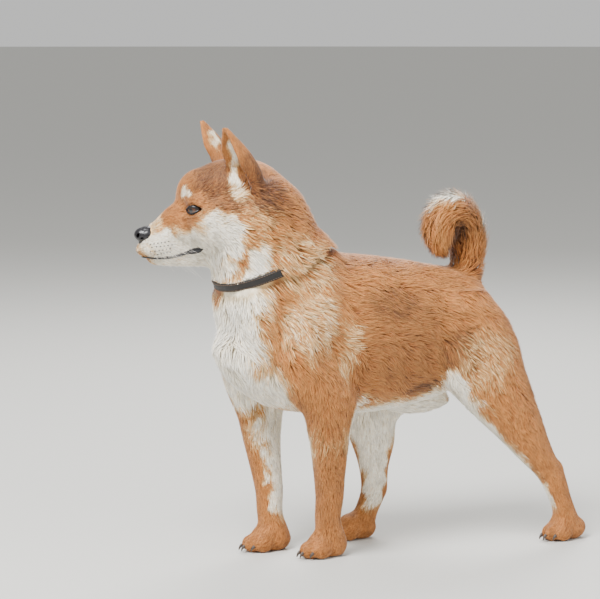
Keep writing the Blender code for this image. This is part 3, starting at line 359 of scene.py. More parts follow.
# The joins are smoothed in full on the trunk and legs, and less on the face, the ears and the paws.
MUZZLE, FACE_REACH, PAW_HIGH = (0, -0.070, -0.025), (0.060, 0.085), (0.020, 0.040)
SOFTEN_FACE, SOFTEN_PAW, EAR_KEEPS, SOFTEN_ROUNDS = 0.45, 0.04, 0.97, 75
in_face = soft_step(-np.linalg.norm(in_head(surface) - MUZZLE, axis=1), -FACE_REACH[1], -FACE_REACH[0])
in_paw = soft_step(-surface[:, 2], -PAW_HIGH[1], -PAW_HIGH[0])
hold = np.clip(1 - (1 - SOFTEN_FACE) * in_face - (1 - SOFTEN_PAW) * in_paw, 0, 1)
hold = hold * (1 - EAR_KEEPS * ear_share(surface))
softened = bpy.data.objects.new("softened", outline)
bpy.context.scene.collection.objects.link(softened)
group = softened.vertex_groups.new(name="hold")
for index, weight in enumerate(np.round(hold, 2)):
    group.add([index], float(weight), "REPLACE")
soften = softened.modifiers.new("soften", "SMOOTH")
soften.factor, soften.iterations, soften.vertex_group = 0.5, SOFTEN_ROUNDS, group.name
bpy.context.view_layer.update()
outline = bpy.data.meshes.new_from_object(softened.evaluated_get(bpy.context.evaluated_depsgraph_get()))
bpy.data.objects.remove(softened)
EYE_RADIUS, EYE_TURN, EYE_SLANT = 0.0105, math.radians(44), math.radians(8)
EYE_OPENING, CORNERS_POINTED = (0.0178, 0.0088), 0.35


def eye_place(side):
    """An eye's own frame: X along the opening, Z up, -Y out of the head."""
    turn = Matrix.Rotation(side * EYE_TURN, 4, "Z") @ Matrix.Rotation(-side * EYE_SLANT, 4, "Y")
    return HEAD_PLACE @ Matrix.Translation((side * EYE_HOME.x, EYE_HOME.y, EYE_HOME.z)) @ turn


def almond(x, z):
    """Below 1 inside the opening between the lids, in the eye's own frame."""
    across = x / (EYE_OPENING[0] / 2)
    half_height = EYE_OPENING[1] / 2 * (1 - CORNERS_POINTED * np.minimum(across ** 2, 1))
    return np.hypot(across, z / half_height)


def to_eye(points, side):
    place = np.array(eye_place(side).inverted())
    return points @ place[:3, :3].T + place[:3, 3]


# Around each eye the coat dips to the ball, and inside the opening it passes behind it.
DIP_FROM, DIP_TO, DIP_DEEP, BEHIND_BALL, BALL_LEAST = 2.3, 1.05, 0.024, 0.0026, 0.3 * EYE_RADIUS
spots = np.array([v.co for v in outline.vertices])
for side in (1, -1):
    place = np.array(eye_place(side))
    local = to_eye(spots, side)
    inside = almond(local[:, 0], local[:, 2])
    ball = EYE_RADIUS ** 2 - local[:, 0] ** 2 - local[:, 2] ** 2
    ball = -np.sqrt(np.maximum(ball, BALL_LEAST ** 2))
    share = soft_step(-inside, -DIP_FROM, -DIP_TO) * (local[:, 1] < 0) * (local[:, 1] > -DIP_DEEP)
    local[:, 1] += (ball + BEHIND_BALL * (inside < 0.98) - local[:, 1]) * share
    spots = local @ place[:3, :3].T + place[:3, 3]
outline.vertices.foreach_set("co", spots.ravel())
outline.update()
surface = np.array([v.co for v in outline.vertices])
normals = np.array([v.normal for v in outline.vertices])
triangles = []
for polygon in outline.polygons:
    corners = polygon.vertices
    triangles += [(corners[0], corners[k], corners[k + 1]) for k in range(1, len(corners) - 1)]
triangles = np.array(triangles)
skin_tree = bvhtree.BVHTree.FromPolygons(surface.tolist(), triangles.tolist())

# The lie of the coat.
# A shiba's double coat lies back from the nose and down the limbs: short on face and feet, deep and
# standing on ruff, breeches and tail. Guides say its way, length, depth and the width of a tuft.
# A guide: where it is, which way the hairs lie there, then their length, depth and width in millimetres.
TRUNK_GUIDES = (
    ((65, -45, 420), (0.15, 0.75, -0.65), 27, 8.0, 2.3, 3.0),
    ((0, 0, 455), (0, 0.80, -0.60), 27, 7.5, 2.3, 3.0),
    ((-8, -115, 400), (0, 0.20, -1.0), 24, 7.5, 2.2, 1.6),
    ((50, -45, 470), (0.10, 0.90, -0.45), 22, 6.5, 2.1, 1.6),
    ((0, -112, 330), (0, 0.10, -1.0), 29, 8.0, 2.4, 3.0),
    ((0, -100, 270), (0, 0.25, -1.0), 28, 8.0, 2.4, 3.0),
    ((0, -70, 225), (0, 0.70, -0.70), 24, 6.0, 2.2, 1.6),
    ((55, -85, 300), (0.30, 0.45, -0.90), 26, 7.0, 2.3, 3.0),
    ((75, -20, 340), (0.05, 0.80, -0.60), 22, 5.0, 2.1, 1.6),
    ((82, -10, 270), (0, 0.50, -0.85), 20, 4.5, 2.0, 1.6),
    ((0, 40, 400), (0, 1.0, -0.05), 25, 6.0, 2.2, 1.6),
    ((0, 120, 385), (0, 1.0, -0.10), 25, 6.0, 2.2, 1.6),
    ((0, 200, 370), (0, 1.0, -0.25), 25, 6.5, 2.2, 1.6),
    ((0, 265, 335), (0, 0.70, -0.70), 24, 6.5, 2.2, 1.6),
    ((60, 60, 370), (0.15, 0.95, -0.30), 24, 5.5, 2.2, 1.6),
    ((83, 60, 300), (0, 0.95, -0.35), 23, 5.0, 2.2, 1.6),
    ((78, 140, 300), (0, 0.95, -0.35), 23, 5.0, 2.2, 1.6),
    ((60, 60, 220), (-0.10, 0.90, -0.45), 23, 5.5, 2.2, 1.6),
    ((55, 150, 215), (-0.15, 0.90, -0.40), 26, 6.5, 2.3, 3.0),
    ((0, 60, 185), (0, 1.0, 0), 20, 5.5, 2.2, 1.6), ((0, 180, 180), (0, 1.0, 0.10), 22, 5.5, 2.2, 1.6),
    ((75, 220, 320), (0, 0.70, -0.70), 22, 5.0, 2.1, 1.6),
    ((30, 285, 290), (0, 0.35, -1.0), 28, 8.0, 2.3, 3.0),
    ((88, 225, 250), (0, 0.55, -0.85), 20, 4.5, 2.0, 1.6),
)
HEAD_GUIDES = (
    ((0, -100, -15), (0, 1.0, 0.10), 5.5, 1.2, 1.0, 0.3),
    ((0, -76, 4), (0, 0.80, 0.60), 6.5, 1.5, 1.0, 0.3),
    ((0, -55, 40), (0, 0.70, 0.70), 8.5, 2.2, 1.2, 0.3), ((0, -10, 60), (0, 1.0, 0), 11, 3.0, 1.4, 0.3),
    ((0, 45, 45), (0, 0.90, -0.45), 18, 5.5, 1.9, 0.8),
    ((22, -98, -40), (0.15, 1.0, -0.10), 6.0, 1.3, 1.0, 0.3),
    ((22, -85, -58), (0.05, 1.0, -0.25), 7.5, 1.6, 1.1, 0.3),
    ((0, -112, -73), (0, 1.0, -0.20), 7.0, 1.8, 1.1, 0.3),
    ((25, -60, -70), (0.10, 1.0, -0.25), 11, 3.0, 1.4, 0.3),
    ((0, -60, -82), (0, 1.0, -0.10), 12, 3.2, 1.5, 0.3),
    ((42, -45, -28), (0.25, 0.95, -0.35), 10, 2.8, 1.3, 0.3),
    ((33, -66, -18), (0.35, 0.90, -0.25), 7.0, 1.6, 1.0, 0.3),
    ((26, -66, 14), (0.25, 0.75, 0.60), 7.0, 1.8, 1.0, 0.3),
    ((50, -25, 12), (0.10, 1.0, -0.05), 11, 3.0, 1.4, 0.3),
    ((62, 2, -25), (0.15, 0.85, -0.50), 17, 5.5, 1.8, 0.8),
    ((50, -10, -60), (0.10, 0.80, -0.60), 19, 6.0, 1.9, 0.8),
    ((0, -10, -78), (0, 0.85, -0.50), 18, 5.5, 1.9, 0.8),
    ((62, 15, 15), (0.05, 0.80, -0.55), 13, 3.6, 1.6, 0.3),
    ((44, 20, 25), (0.05, 0.20, 0.95), 9.0, 1.6, 1.2, 0.3),
    ((52, 2, 60), (0.08, -0.30, 0.95), 6.5, 1.0, 0.95, 0.3),
    ((58, -22, 88), (0.05, -0.30, 0.95), 5.5, 0.8, 0.85, 0.3),
    ((34, -14, 40), (0.20, -0.15, 0.95), 8.0, 1.2, 1.0, 0.3),
)
LEG_LENGTH, LEG_DEPTH, LEG_WIDTH, LEG_STAND = (8.5, 20), (1.8, 4.5), (1.15, 1.9), 1.0
FOOT_GUIDE, TAIL_LENGTH, TAIL_WIDTH, TAIL_STAND = (6.0, 1.1, 1.0, 0.2), 36, 2.4, 10
TAIL_SKIN_SHARE = 0.50
BREECHES = (
    ((66, 298, 235), (0, 0.30, -1.0), 28, 7.0, 2.2, 3.0),
    ((80, 318, 190), (0, 0.25, -1.0), 24, 5.5, 2.0, 1.6),
    ((-58, 262, 225), (0, 0.10, -1.0), 26, 7.0, 2.2, 3.0),
    ((-62, 208, 180), (0, 0.0, -1.0), 22, 5.0, 2.0, 1.6),
)
MM = 0.001


def comb_guides():
    """Every guide as a row of place, way, length, depth and width, with both sides of head and trunk."""
    rows = []
    for guides, place in ((TRUNK_GUIDES, Matrix.Identity(4)), (HEAD_GUIDES, HEAD_PLACE)):
        turn = place.to_3x3()
        for spot, way, *sizes in guides:
            for side in ((1, -1) if spot[0] > 10 else (1,)):
                where = place @ Vector((side * spot[0] * MM, spot[1] * MM, spot[2] * MM))
                rows.append((*where, *(turn @ Vector((side * way[0], way[1], way[2]))), *sizes))
    rows += [(*(v * MM for v in spot), *way, *sizes) for spot, way, *sizes in BREECHES]
    for leg in (leg_left, leg_right, HINDLEG_LEFT[2:], HINDLEG_RIGHT[2:]):
        line = smooth_path(leg, 2)
        for here, after in zip(line, line[1:]):
            high = float(soft_step(here[2], 0.07, 0.23))
            sizes = [low + (top - low) * high for low, top in (LEG_LENGTH, LEG_DEPTH, LEG_WIDTH)]
            rows.append((*here[:3], *unit(after[:3] - here[:3]), *sizes, LEG_STAND * high))
    for x, y, turn in PAWS.values():
        ahead = Matrix.Rotation(turn, 3, "Z") @ Vector((0, -1, -0.45))
        rows.append((x, y - 0.012, 0.020, *ahead, *FOOT_GUIDE))
    return np.array(rows)


guides = comb_guides()
GUIDE_REACH, AT_A_TIME = 4.5, 20000
TAIL_NEAR, TAIL_FOOT = (1.15, 1.35), (0.352, 0.372)


def combed(points, normal):
    """The way, length, depth and width of the coat at points of the outline."""
    values = np.zeros((len(points), 7))
    for start in range(0, len(points), AT_A_TIME):
        part = slice(start, start + AT_A_TIME)
        away = np.linalg.norm(points[part, None] - guides[None, :, :3], axis=2)
        share = 1 / (away + 0.004) ** GUIDE_REACH
        values[part] = (share @ guides[:, 3:10]) / share.sum(1, keepdims=True)
    way, (length, depth, width, stand) = values[:, :3], values[:, 3:].T * MM
    away, nearest = near_line(points, TAIL[1:])
    in_tail = soft_step(-away, -TAIL_NEAR[1], -TAIL_NEAR[0]) * soft_step(points[:, 2], *TAIL_FOOT)
    rows = smooth_path(TAIL[1:])
    along = unit(np.gradient(rows[:, :3], axis=0))[nearest]
    way = way * (1 - in_tail)[:, None] + along * in_tail[:, None]
    length = length + (TAIL_LENGTH * MM * rows[nearest, 3] / 0.030 - length) * in_tail
    depth = depth + (rows[nearest, 3] * (1 - TAIL_SKIN_SHARE) - depth) * in_tail
    width = width + (TAIL_WIDTH * MM - width) * in_tail
    stand = stand + (TAIL_STAND * MM - stand) * in_tail
    way = unit(way - normal * (way * normal).sum(1, keepdims=True))
    return way, length, depth, width, stand


lie, hair_length, coat_depth, tuft_width, hair_stand = combed(surface, normals)


def spread(values, rounds):
    """Values at the corners of the outline, averaged with their neighbours'."""
    ends = np.array([edge.vertices for edge in outline.edges])
    count = np.bincount(ends.ravel(), minlength=len(surface))
    for _ in range(rounds):
        total = np.stack([
            np.bincount(ends[:, 0], column[ends[:, 1]], len(surface))
            + np.bincount(ends[:, 1], column[ends[:, 0]], len(surface)) for column in values.T
        ], axis=1)
        values = (values + total / count[:, None]) / 2
    return values


SPREAD_ROUNDS, EAR_THINNER, EAR_DEPTH = 12, 0.75, 0.0005
smoothed = spread(np.column_stack([lie, hair_length, coat_depth]), SPREAD_ROUNDS)
lie = unit(smoothed[:, :3] - normals * (smoothed[:, :3] * normals).sum(1, keepdims=True))
hair_length, coat_depth = smoothed[:, 3], smoothed[:, 4]
on_ear = ear_share(surface)
coat_depth = coat_depth * (1 - EAR_THINNER * on_ear) + EAR_DEPTH * on_ear

# The markings of the coat.
# Red sesame-tipped hair over the back and skull, with the breed's cream on muzzle, cheeks, throat,
# chest, belly, the inside of the legs, and the rim of the tail, and a painted shadow in the hollow of the
# tail's curl. Both hide and tufts carry the same fields.
# A patch: its middle and radii in millimetres and how strong it is.
CREAM_BODY = (
    ((-4, -142, 290), (84, 70, 118), 1.0), ((26, -82, 228), (48, 42, 44), 0.9),
    ((-24, -130, 385), (58, 60, 74), 1.0), ((-20, -135, 350), (60, 60, 50), 1.0),
    ((0, 100, 170), (74, 175, 42), 1.0), ((0, 280, 268), (30, 46, 60), 0.8),
    ((80, 22, 288), (14, 14, 44), 0.34), ((24, -40, 235), (34, 40, 40), 0.8),
    ((34, 190, 200), (24, 60, 60), 0.9), ((66, -30, 405), (34, 46, 50), 0.36),
    ((78, -34, 325), (26, 40, 50), 0.40), ((90, 225, 262), (26, 44, 44), 0.30),
    ((0, 292, 420), (44, 22, 80), 1.0), ((0, 262, 478), (44, 56, 20), 1.0),
    ((0, 216, 482), (38, 44, 18), 0.9),
)
CREAM_HEAD = (
    ((34, -58, -50), (30, 42, 27), 1.0), ((20, -100, -50), (17, 34, 24), 1.0),
    ((20, -69, 17), (7.0, 7.5, 7.0), 0.75), ((0, -70, -82), (36, 58, 20), 1.0),
    ((56, -34, -30), (22, 30, 28), 1.0), ((54, -14, 56), (13, 12, 40), 0.9),
    ((0, -124, -46), (18, 22, 24), 1.0), ((56, -40, -14), (14, 16, 14), 0.85),
    ((34, -34, -70), (34, 34, 24), 0.8), ((60, -12, 24), (8, 10, 14), 0.45),
    ((66, 6, -30), (26, 36, 40), 0.26), ((0, -104, -26), (14, 16, 16), 0.5),
    ((44, -50, -4), (10, 12, 8), 0.4), ((0, -112, -66), (20, 20, 14), 1.0),
)
# Darker hair, and at (18, 226, 400) a painted shadow in the hollow of the tail's curl, between its tip and
# its base.
DARK_BODY_AND_SHADOW = (
    ((81, 187, 273), (26, 34, 34), 0.75), ((74, 85, 338), (30, 44, 24), 0.65),
    ((60, 150, 219), (22, 40, 10), 1.0), ((18, 226, 400), (28, 28, 22), 0.9),
    ((0, 120, 392), (60, 170, 14), 0.25), ((78, 120, 285), (20, 90, 70), 0.36),
    ((60, 5, 150), (26, 20, 110), 0.25),
)
DARK_HEAD = (
    ((62, 22, 24), (24, 24, 40), 1.0), ((38, -36, 36), (34, 34, 24), 0.85),
    ((54, -16, 8), (18, 30, 16), 0.75), ((36, -70, -14), (12, 14, 8), 0.35),
    ((0, -30, 54), (34, 44, 18), 0.75), ((58, 0, 62), (16, 30, 50), 0.7),
    ((66, 14, -44), (20, 22, 16), 0.35),
)
# On the legs the cream runs down one side: how much it asks of the inner side, the front and the rear.
LEG_CREAM = (
    (FORELEG_LEFT, 1, 0.55, 0.0, 0.95), (FORELEG_RIGHT, -1, 0.95, 0.0, 0.55),
    (HINDLEG_LEFT, 1, 0.65, 0.90, 0.0), (HINDLEG_RIGHT, -1, 1.0, 0.35, 0.0),
)
MOTTLE_SEED, MOTTLE_WAVES = 5, 14
mottle_draw = np.random.default_rng(MOTTLE_SEED)
MOTTLE_WAYS = unit(mottle_draw.normal(size=(MOTTLE_WAVES, 3)))
MOTTLE_PHASES = mottle_draw.uniform(0, math.tau, MOTTLE_WAVES)


def mottle(points, size):
    """A soft random field from -1 to 1 with patches of about this size."""
    waves = points @ MOTTLE_WAYS.T * (math.tau / size) * np.linspace(0.6, 1.5, MOTTLE_WAVES) + MOTTLE_PHASES
    return np.clip(np.sin(waves).sum(1) / 3.2, -1, 1)


def patches(points, rows, sides):
    """How far points are inside soft patches, from 0 to 1."""
    share = np.zeros(len(points))
    for centre, radii, strength in rows:
        for side in sides if abs(centre[0]) > 6 else (1,):
            offset = points - np.array(centre) * MM * (side, 1, 1)
            away = np.linalg.norm(offset / (np.array(radii) * MM), axis=1)
            share = np.maximum(share, strength * soft_step(-away, -1.35, -0.65))
    return share


def leg_cream(points):
    """The cream side of each leg, fading out at the paws and where the leg joins the body."""
    most = np.zeros(len(points))
    for leg, out, inner, front, rear in LEG_CREAM:
        line = foreleg(**leg)[1] if isinstance(leg, dict) else leg[2:]
        rows = smooth_path(line)
        away, nearest = near_line(points, line)
        offset = (points - rows[nearest, :3]) / rows[nearest, 3:4]
        score = -out * inner * offset[:, 0] - front * offset[:, 1] + rear * offset[:, 1]
        low, high = (0.050, 0.205) if isinstance(leg, dict) else (0.046, 0.235)
        band = soft_step(points[:, 2], low - 0.012, low + 0.020)
        band = band * soft_step(-points[:, 2], -high - 0.02, -high)
        side = soft_step(out * points[:, 0], 0.004, 0.012)
        most = np.maximum(most, soft_step(score, 0.30, 0.85) * band * side * soft_step(-away, -1.9, -1.5))
    return most


LOOSE_BY, LOOSE_SIZE, HEAD_REACH = 0.004, 0.022, (0.078, 0.130, 0.110)


def marked(points):
    """How cream and how dark the coat is at points, each from 0 to 1; the dark holds a painted shadow in the
    tail's curl.
    """
    loose = points + LOOSE_BY * np.stack([mottle(points + k, LOOSE_SIZE) for k in (0, 0.1, 0.2)], axis=1)
    local = in_head(loose)
    face = soft_step(-np.linalg.norm(local / HEAD_REACH, axis=1), -1.15, -1.0)
    body = np.maximum(patches(loose, CREAM_BODY, (1, -1)), leg_cream(loose))
    cream = np.maximum(body * (1 - face), patches(local, CREAM_HEAD, (1, -1)) * face)
    body_dark_and_shadow = patches(loose, DARK_BODY_AND_SHADOW, (1, -1))
    dark = np.maximum(body_dark_and_shadow * (1 - face), patches(local, DARK_HEAD, (1, -1)) * face)
    return cream, dark * (1 - 0.8 * cream)


# The hide.
# One skin under the whole coat, from nose to tail tip, so that no seam shows between the parts. It lies
# inside the outline by the coat's depth and carries the hair's colour near the root, darkened in part by
# the painted shade of the roots.
HIDE_TRIANGLES = 150000
hide = outline.copy()
hide.name = "hide"
hide.vertices.foreach_set("co", (surface - normals * coat_depth[:, None]).ravel())
hide = changed(hide, ("DECIMATE", dict(ratio=HIDE_TRIANGLES / len(triangles))))


def add_piece(name, mesh, in_dog_frame=True):
    """An object of this mesh that rides with the dog's one body."""
    if in_dog_frame:
        mesh.transform(IN_FRAME)
    mesh.name = name
    piece = bpy.data.objects.new(name, mesh)
    bpy.context.scene.collection.objects.link(piece)
    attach(piece, "root")
    return piece


class Channel:
    """A socket of a shader tree on which plain arithmetic can be written."""

    def __init__(self, tree, socket):
        self.tree, self.socket = tree, socket

    def maths(self, operation, *values):
        return self.tree.make("ShaderNodeMath", dict(operation=operation), *values)

    def __add__(self, other):
        return self.maths("ADD", self, other)

    def __radd__(self, other):
        return self.maths("ADD", other, self)

    def __sub__(self, other):
        return self.maths("SUBTRACT", self, other)

    def __rsub__(self, other):
        return self.maths("SUBTRACT", other, self)

    def __mul__(self, other):
        return self.maths("MULTIPLY", self, other)

    def __rmul__(self, other):
        return self.maths("MULTIPLY", other, self)

    def __pow__(self, other):
        return self.maths("POWER", self, other)

    def between(self, low, high):
        """0 below low, 1 above high and soft between them."""
        settings, ends = dict(interpolation_type="SMOOTHSTEP"), {"From Min": low, "From Max": high}
        return self.tree.make("ShaderNodeMapRange", settings, Value=self, **ends)


class Finish:
    """A material of one shader, whose nodes are made by one method."""

    def __init__(self, name, **values):
        self.material = bpy.data.materials.new(name)
        self.material.use_nodes = True
        self.nodes, self.links = self.material.node_tree.nodes, self.material.node_tree.links
        self.shader = self.nodes["Principled BSDF"]
        for socket, value in values.items():
            self.put(self.shader.inputs[socket.replace("_", " ").title().replace("Ior", "IOR")], value)

    def put(self, socket, value):
        if isinstance(value, Channel):
            self.links.new(value.socket, socket)
        elif value is not None:
            is_colour = isinstance(value, tuple) and socket.type == "RGBA"
            socket.default_value = (*value, 1) if is_colour else value

    def make(self, kind, settings=None, *values, out=0, **named):
        """A node of this type: its settings first, then values or links on its sockets."""
        node = self.nodes.new(kind)
        for key, value in (settings or {}).items():
            setattr(node, key, value)
        for index, value in enumerate(values):
            self.put(node.inputs[index], value)
        for socket, value in named.items():
            self.put(node.inputs[socket], value)
        return Channel(self, node.outputs[out])

    def mix(self, share, first, second, blend="MIX"):
        """Two colours mixed, each a tuple or a link."""
        node = self.nodes.new("ShaderNodeMix")
        node.data_type, node.blend_type = "RGBA", blend
        for index, value in ((0, share), (6, first), (7, second)):
            self.put(node.inputs[index], value)
        return Channel(self, node.outputs[2])

    def noise(self, where, scale, detail=2.0, roughness=0.5, **more):
        named = dict(Vector=where, Scale=scale, Detail=detail, Roughness=roughness, **more)
        return self.make("ShaderNodeTexNoise", None, **named)

    def place(self):
        return self.make("ShaderNodeTexCoord", out=3)

    def stretched(self, where, *scale):
        return self.make("ShaderNodeVectorMath", dict(operation="MULTIPLY"), where, tuple(scale))

    def colour(self, value):
        self.put(self.shader.inputs["Base Color"], value)

    def rough(self, value):
        self.put(self.shader.inputs["Roughness"], value)

    def bump(self, height, distance, strength=1.0):
        normal = self.make("ShaderNodeBump", None, Height=height, Distance=distance, Strength=strength)
        self.put(self.shader.inputs["Normal"], normal)


def paint(red, green, blue):
    """A colour as it is seen on a screen, 0 to 255, made linear."""
    shares = [value / 255 for value in (red, green, blue)]
    return tuple(v / 12.92 if v < 0.0431 else ((v + 0.055) / 1.055) ** 2.4 for v in shares)


# The root colours are darker than the middles: painted shade deep in the coat, where the real undercoat is
# pale.
RED_ROOT_SHADE, RED_MIDDLE, RED_TIP = paint(126, 70, 28), paint(164, 96, 40), paint(194, 130, 68)
DARK_MIDDLE, DARK_TIP = paint(100, 56, 26), paint(54, 33, 20)
CREAM_ROOT_SHADE, CREAM_MIDDLE, CREAM_TIP = paint(214, 188, 142), paint(246, 234, 208), paint(255, 250, 238)
TAN = paint(222, 182, 124)
SPECKLE, DARKEST, BY_CHANCE, BY_SPECKLE = 420.0, 0.72, 0.50, 0.30


def coat_finish(name, bump_scale=None):
    """The colours of the hair from root to tip, by the coat's own marking fields."""
    finish = Finish(name, roughness=0.62, sheen_weight=0.25, sheen_roughness=0.5, specular_ior_level=0.25)
    fields = finish.nodes.new("ShaderNodeAttribute")
    fields.attribute_name = "coat"
    split = finish.nodes.new("ShaderNodeSeparateColor")
    finish.links.new(fields.outputs["Color"], split.inputs[0])
    cream, dark, along = (Channel(finish, output) for output in split.outputs)
    chance = Channel(finish, fields.outputs["Alpha"])
    tip = along.between(0.35, 1.0)
    root = along.between(0.0, 0.55)
    # Near the root the red and the cream darken to painted shade.
    red = finish.mix(tip, finish.mix(root, RED_ROOT_SHADE, RED_MIDDLE), RED_TIP)
    brown = finish.mix(tip, DARK_MIDDLE, DARK_TIP)
    pale = finish.mix(tip, finish.mix(root, CREAM_ROOT_SHADE, CREAM_MIDDLE), CREAM_TIP)
    where = finish.place()
    fine = finish.noise(where, SPECKLE, 2.0)
    hair = finish.mix(dark, red, brown)
    hair = finish.mix(cream.between(0.0, 0.6), hair, TAN)
    hair = finish.mix(cream.between(0.4, 1.0), hair, pale)
    light = DARKEST + BY_CHANCE * chance + BY_SPECKLE * (fine - 0.5)
    shade = finish.make("ShaderNodeCombineColor", None, light, light, light)
    finish.colour(finish.mix(1.0, hair, shade, "MULTIPLY"))
    if bump_scale:
        streaks = finish.noise(finish.stretched(where, 1.0, 0.35, 0.6), bump_scale, 3.0)
        finish.bump(streaks, 0.0012, 0.8)
    return finish.material


hide_finish = coat_finish("hide", 900.0)
hair_finish = coat_finish("hair")
hide_points = np.array([v.co for v in hide.vertices])
hide_piece = add_piece("hide", hide)
hide.uv_layers.new(name="OFBake")
bpy.context.view_layer.objects.active = hide_piece
hide_piece.select_set(True)
bpy.ops.object.mode_set(mode="EDIT")
bpy.ops.mesh.select_all(action="SELECT")
bpy.ops.uv.smart_project(angle_limit=math.radians(66), island_margin=0.002)
bpy.ops.object.mode_set(mode="OBJECT")
hide.materials.clear()
hide.materials.append(hide_finish)
hide.shade_smooth()
HIDE_ALONG = 0.40


def give_fields(mesh, cream, dark, along, chance):
    """Writes the coat's fields on a mesh, where the materials read them."""
    layer = mesh.attributes.new("coat", "FLOAT_COLOR", "POINT")
    layer.data.foreach_set("color", np.column_stack([cream, dark, along, chance]).astype(np.float32).ravel())


cream, dark = marked(hide_points)
give_fields(hide, cream, dark, np.full(len(cream), HIDE_ALONG), 0.5 + 0.3 * mottle(hide_points, 0.012))
FLESH = [
    "head", "neck", "torso", "tail_base", "tail_curl", "ear_left", "ear_right",
    "foreleg_left", "foreleg_right", "hindleg_left", "hindleg_right",
    "forepaw_left", "forepaw_right", "hindpaw_left", "hindpaw_right",
]
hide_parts(*FLESH)

# The eyes.
# Small, dark and set obliquely: a glossy ball in its socket, with a near-black iris, behind tight black
# lid rims. The ball is one wet surface, and each rim is a roll of bare skin along the almond opening.
IRIS_RADIUS, PUPIL_RADIUS = 0.0074, 0.0030
LID_RADIUS, LID_STATIONS = 0.0014, 30


def eye_finish():
    finish = Finish("eye", roughness=0.12, coat_weight=1.0, coat_roughness=0.03)
    where = finish.nodes.new("ShaderNodeAttribute")
    where.attribute_name = "from_pupil"
    away = Channel(finish, where.outputs["Fac"])
    fibres = finish.noise(finish.stretched(finish.place(), 900, 900, 900), 1.0, 2.0)
    iris = finish.mix(fibres, paint(46, 24, 12), paint(92, 52, 26))
    iris = finish.mix(away.between(IRIS_RADIUS * 0.80, IRIS_RADIUS * 0.99), iris, paint(16, 9, 6))
    white = finish.mix(fibres, paint(58, 44, 36), paint(84, 66, 54))
    colour = finish.mix(away.between(PUPIL_RADIUS * 0.9, PUPIL_RADIUS * 1.08), paint(4, 3, 3), iris)
    finish.colour(finish.mix(away.between(IRIS_RADIUS * 0.98, IRIS_RADIUS * 1.10), colour, white))
    return finish.material


def skin_black(name, scale, roughness, depth):
    """Bare black skin: fine pebbles, damp in its hollows."""
    finish = Finish(name, specular_ior_level=0.5)
    where = finish.place()
    pebbles = finish.make("ShaderNodeTexVoronoi", dict(feature="SMOOTH_F1"), Vector=where, Scale=scale)
    broad = finish.noise(where, scale * 0.12, 3.0)
    finish.colour(finish.mix(broad, paint(12, 11, 13), paint(30, 28, 32)))
    finish.rough(roughness + 0.18 * (broad - 0.5))
    finish.bump(0.7 * pebbles + 0.3 * broad, depth, 0.6)
    return finish.material


eye_material, lid_material = eye_finish(), skin_black("lids", 1500, 0.34, 0.0002)


def ring_loop(points, radii, sides=10):
    """A closed roll through points, with a radius for each."""
    rows = [(*point, radius, radius) for point, radius in zip(points, radii)]
    return tube(rows, across=(0.3, 0.2, 1), sides=sides, steps=1, ring=True)


def smoothed_mesh(name, shapes, material, levels=1):
    mesh = mesh_of(name, shapes)
    if levels:
        mesh = changed(mesh, ("SUBSURF", dict(levels=levels, render_levels=levels)))
    mesh.materials.clear()
    mesh.materials.append(material)
    mesh.shade_smooth()
    return mesh


for name, side in (("left", 1), ("right", -1)):
    place = eye_place(side)
    rings = np.cos(np.linspace(math.pi - 0.02, 0.02, 40))
    ball = tube([(0, t, 0, math.sqrt(1 - t * t), math.sqrt(1 - t * t)) for t in rings], sides=48, steps=1)
    mesh = smoothed_mesh("eye_ball_" + name, [(ball[0] * EYE_RADIUS, ball[1])], eye_material, 0)
    spots = np.array([v.co for v in mesh.vertices])
    gaze = unit(np.array([side * -0.10, -1.0, -0.04]))
    off = np.linalg.norm(spots / EYE_RADIUS - gaze, axis=1) * EYE_RADIUS
    mesh.attributes.new("from_pupil", "FLOAT", "POINT").data.foreach_set("value", off.astype(np.float32))
    mesh.transform(place)
    piece = add_piece("eye_ball_" + name, mesh)
    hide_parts("eye_" + name)
    points, radii = [], []
    for k in range(LID_STATIONS):
        c, s = math.cos(math.tau * k / LID_STATIONS), math.sin(math.tau * k / LID_STATIONS)
        x, z = EYE_OPENING[0] / 2 * c, EYE_OPENING[1] / 2 * s * (1 - CORNERS_POINTED * c * c)
        y = -math.sqrt(max(EYE_RADIUS ** 2 - x * x - z * z, 0)) - 0.0002
        points.append(place @ Vector((x * 1.01, y, z * 1.02)))
        radii.append(LID_RADIUS * (1.25 if s > 0 else 0.9) * (1 + 0.35 * (c * -side > 0.9)))
    rim = smoothed_mesh("lid_" + name, [ring_loop(points, radii)], lid_material)
    add_piece("lid_" + name, rim)

# The nose.
# A block of bare, pebbled black leather on the end of the muzzle, with comma-shaped nostrils and a groove
# down its middle. It is grown skin, fused into the upper lip.
NOSE_SHAPES = (
    ((0, -0.1180, -0.0350), (0.0115, 0.0125, 0.0098)), ((0, -0.1120, -0.0295), (0.0105, 0.0120, 0.0058)),
    ((0, -0.1170, -0.0430), (0.0060, 0.0080, 0.0070)),
    ((0.0078, -0.1135, -0.0352), (0.0062, 0.0095, 0.0080)),
    ((-0.0078, -0.1135, -0.0352), (0.0062, 0.0095, 0.0080)),
)
NOSTRIL = ((0.0070, -0.1275, -0.0350), (0.0021, 0.0080, 0.0032))
NOSTRIL_TURN, NOSTRIL_SLANT = math.radians(38), math.radians(20)
nose_leather = skin_black("nose_leather", 1300, 0.30, 0.00035)
nose = changed(
    mesh_of("nose", [blob(*shape) for shape in NOSE_SHAPES]),
    ("REMESH", dict(mode="VOXEL", voxel_size=0.0005)), ("SMOOTH", dict(factor=0.5, iterations=14)),
)
cuts = []
